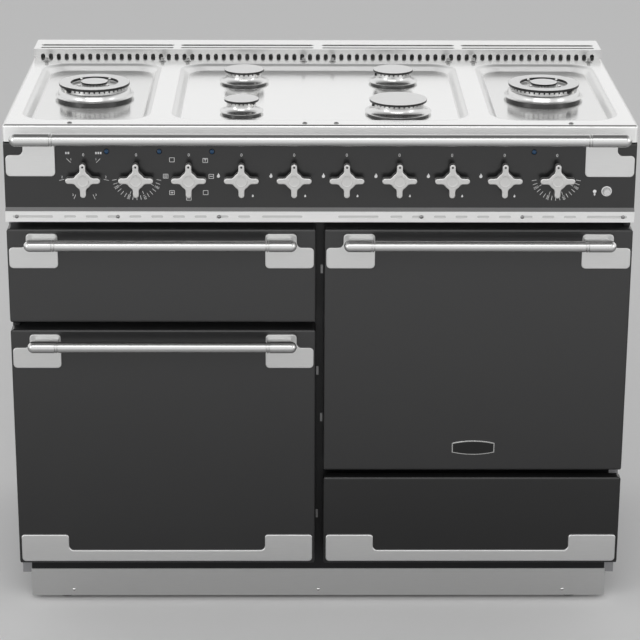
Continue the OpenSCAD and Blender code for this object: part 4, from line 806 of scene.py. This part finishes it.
# Each burner's place, the radii of its cap, crown and dish, its number of teeth, the igniter's notch and its angle.
for n, (x, y, cap, ring, brim, teeth, notch, post) in enumerate([
        (-side_x, well_y, 0.0640, 0.0614, 0.0714, 42, (226, 10.6, 0.0045), 217),
        (-pair_x, well_y + pair_y, 0.0369, 0.0326, 0.0454, 24, (-36, 14, 0.0048), -45),
        (-pair_x, well_y - pair_y, 0.0306, 0.0257, 0.0388, 22, (-33, 16, 0.0048), -44),
        (pair_x, well_y + pair_y, 0.0369, 0.0326, 0.0454, 24, None, 195),
        (pair_x, well_y - pair_y, 0.0508, 0.0453, 0.0590, 32, None, 195),
        (side_x, well_y, 0.0640, 0.0614, 0.0714, 42, (314, 10.6, 0.0045), 323)]):
    name, wok, centre = f"burner_{n + 1}", cap > 0.06, (x, y, deck_z)
    low, ports, high = (0.0035, 0.0070, 0.0106) if wok else (0.0028, 0.0058, 0.0092)
    floor, sink = (-side_drop, 0.0018) if wok else (-middle_drop, 0.0028)
    # Each burner's seat under the brim is dark grey: painted shade beneath the dish.
    turned(name + "_seat", "cooker", seat_shade_black,
           [(floor, brim - 0.0045), (-0.0068 - sink, brim - 0.0045)], centre, "z", (), 72)
    dish = [(z - sink, brim - r) for z, r in [
        (-0.0070, 0.0100), (-0.0068, 0.0020), (-0.0064, 0.0006), (-0.0059, 0.0001), (-0.0054, 0.0), (-0.0048, 0.0005),
        (-0.0045, 0.0014)]]
    if wok:
        dish += [(z, brim - r) for z, r in [
            (-0.0048, 0.0024), (-0.0053, 0.0032), (-0.0051, 0.0039), (-0.0040, 0.0045), (-0.0020, 0.0052),
            (0.0006, 0.0063), (0.0028, 0.0078)]]
        dish.append((low + 0.0004, ring + 0.0006))
    else:
        foot_z, foot_r = -0.0046 - sink, brim - 0.0022
        tall, across = low + 0.0004 - foot_z, foot_r - ring - 0.0004
        for a in range(0, 91, 10):
            dish.append((foot_z + tall * (1 - math.cos(math.radians(a))), foot_r - across * math.sin(math.radians(a))))
    dish.append((low + 0.0006, ring - 0.0010))
    turned(name + "_dish", "cooker", dish_metal, dish, centre, "z",
           ["burner_bases", "burner_crowns", "burner_caps"] if n == 0 else [], 96)
    crown(name + "_crown", x, y, ring, low, ports, high, teeth, 0.32, notch)
    a = math.radians(post)
    reach = ring + (0.0 if notch else 0.0012)
    turned(name + "_igniter", "cooker", igniter_white if notch else cap_edge,
           [(low, 0.0019), (ports + 0.0010, 0.0019), (ports + 0.0018, 0.0010)],
           (x + reach * math.cos(a), y + reach * math.sin(a), deck_z), "z", (), 16)
    # A black cylinder inside each crown, seen through the ports: painted shade.
    gap = [(low, ring - 0.0028), (high + 0.0002, ring - 0.0028)]
    if not wok:
        turned(name + "_gap", "cooker", cap_edge, gap, centre, "z")
        disc_cap(name + "_cap", x, y, cap, high, 0.0135)
        continue
    hollow(name + "_gap", gap + [(high + 0.0002, 0.0450), (low, 0.0450)], x, y, cap_edge)
    disc_cap(name + "_cap", x, y, cap, high, 0.0155, 0.0430)
    hollow(name + "_inner_floor",
           [(0.0076, 0.0449), (0.0106, 0.0449), (0.0106, 0.0436), (0.0090, 0.0430), (0.0085, 0.0415),
            (0.0084, 0.0190), (0.0076, 0.0190)], x, y, hollow_metal)
    crown(name + "_inner_crown", x, y, 0.0228, 0.0084, 0.0112, 0.0136, 24, 0.35)
    turned(name + "_inner_gap", "cooker", cap_edge, [(0.0084, 0.0198), (0.0138, 0.0198)], centre, "z")
    disc_cap(name + "_inner_cap", x, y, 0.0243, 0.0136, cap_height)
    for a in (45, 135, 225, 315):
        px, py = x + 0.036 * math.cos(math.radians(a)), y + 0.036 * math.sin(math.radians(a))
        turned(f"{name}_peg_{a}", "cooker", dish_metal,
               [(0.0082, 0.0028), (0.0150, 0.0028), (0.0164, 0.0020), (0.0168, 0.0008)], (px, py, deck_z), "z", (), 20)

# Vent strip's slots and the door catches: a bright sheet lies close behind the slots, greyer than the strip: painted
# shade inside the slots. The catches are plated springs on the front frame, seen in the gap between the doors.
strip_low, strip_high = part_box("vent_strip")
backing = rounded(0.0, (strip_low.z + strip_high.z) / 2, 2 * half_width - 0.012, strip_high.z - strip_low.z - 0.004,
                  0.002, 2)
slot_shade_backing = brushed("slot_shade_backing", (0.72, 0.72, 0.715), 0.45, (1.0, 30.0, 30.0), 0.02)
solid("strip_backing", "cooker", slot_shade_backing, backing, [(0.0, 0.0008), (0.0, 0.0)],
      lambda a, b, height: (a, strip_low.y + 0.0018 + height, b))
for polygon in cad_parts["door_hinges"].data.polygons:
    polygon.material_index = 1 if abs(polygon.center.x) < 0.02 else 0
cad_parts["door_hinges"].data.materials.append(screw_steel)

# Edge trims: brushed stainless strips along the bottom of the left oven door and of the drawer, with a taller tab at
# each end and a soft front edge.
for node, body in (("left_door_trim", "left_oven_door"), ("drawer_trim", "drawer")):
    low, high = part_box(node)
    wide, strip, tab, tall, r, fillet = high.x - low.x, 0.0218, 0.0860, 0.0525, 0.0060, 0.0085
    shape = arc(0.0070, 0.0070, 0.0070, 180, 270, 8) + arc(wide - 0.0070, 0.0070, 0.0070, 270, 360, 8)
    shape += arc(wide - r, tall - r, r, 0, 90, 8) + arc(wide - tab + r, tall - r, r, 90, 180, 8)
    shape += list(reversed(arc(wide - tab - fillet, strip + fillet, fillet, 270, 360, 8)))
    shape += list(reversed(arc(tab + fillet, strip + fillet, fillet, 180, 270, 8)))
    shape += arc(tab - r, tall - r, r, 0, 90, 8) + arc(r, tall - r, r, 90, 180, 8)

    def on_edge(a, b, height):
        return (low.x + a, low.y + height, low.z + b)

    steps = [(0.0, 0.0030), (0.0, 0.0015), (0.0002, 0.0009), (0.0005, 0.0005), (0.0010, 0.0002), (0.0017, 0.0)]
    solid(node + "_strip", body, strip_steel, shape, steps, on_edge, [node])

# Badge on the right oven door: a small metal plate with bowed long sides, glued to the enamel. A bright edge stands
# round a plain dark field.
door_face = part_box("right_door_panel")[0].y
badge_x, badge_z = 0.2765, 0.3225
badge_metal = brushed("badge_metal", (0.70, 0.70, 0.69), 0.25, (1.0, 20.0, 20.0), 0.03)
for name, metal, half, end, bow, steps in [
        ("badge_plate", badge_metal, 0.0385, 0.0092, 0.0046, [(0.0, 0.0), (0.0, -0.0014), (0.0005, -0.0018)]),
        ("badge_field", dot_black, 0.0365, 0.0076, 0.0042, [(0.0, -0.0010), (0.0, -0.0020)])]:
    r = (half * half + bow * bow) / (2 * bow)
    reach = math.degrees(math.asin(half / r))
    shape = arc(badge_x, badge_z + end + bow - r, r, 90 - reach, 90 + reach, 20)
    shape += arc(badge_x, badge_z - end - bow + r, r, 270 - reach, 270 + reach, 20)
    solid(name, "right_oven_door", metal, shape, steps, lambda a, b, height: (a, door_face + height, b))

low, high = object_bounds()
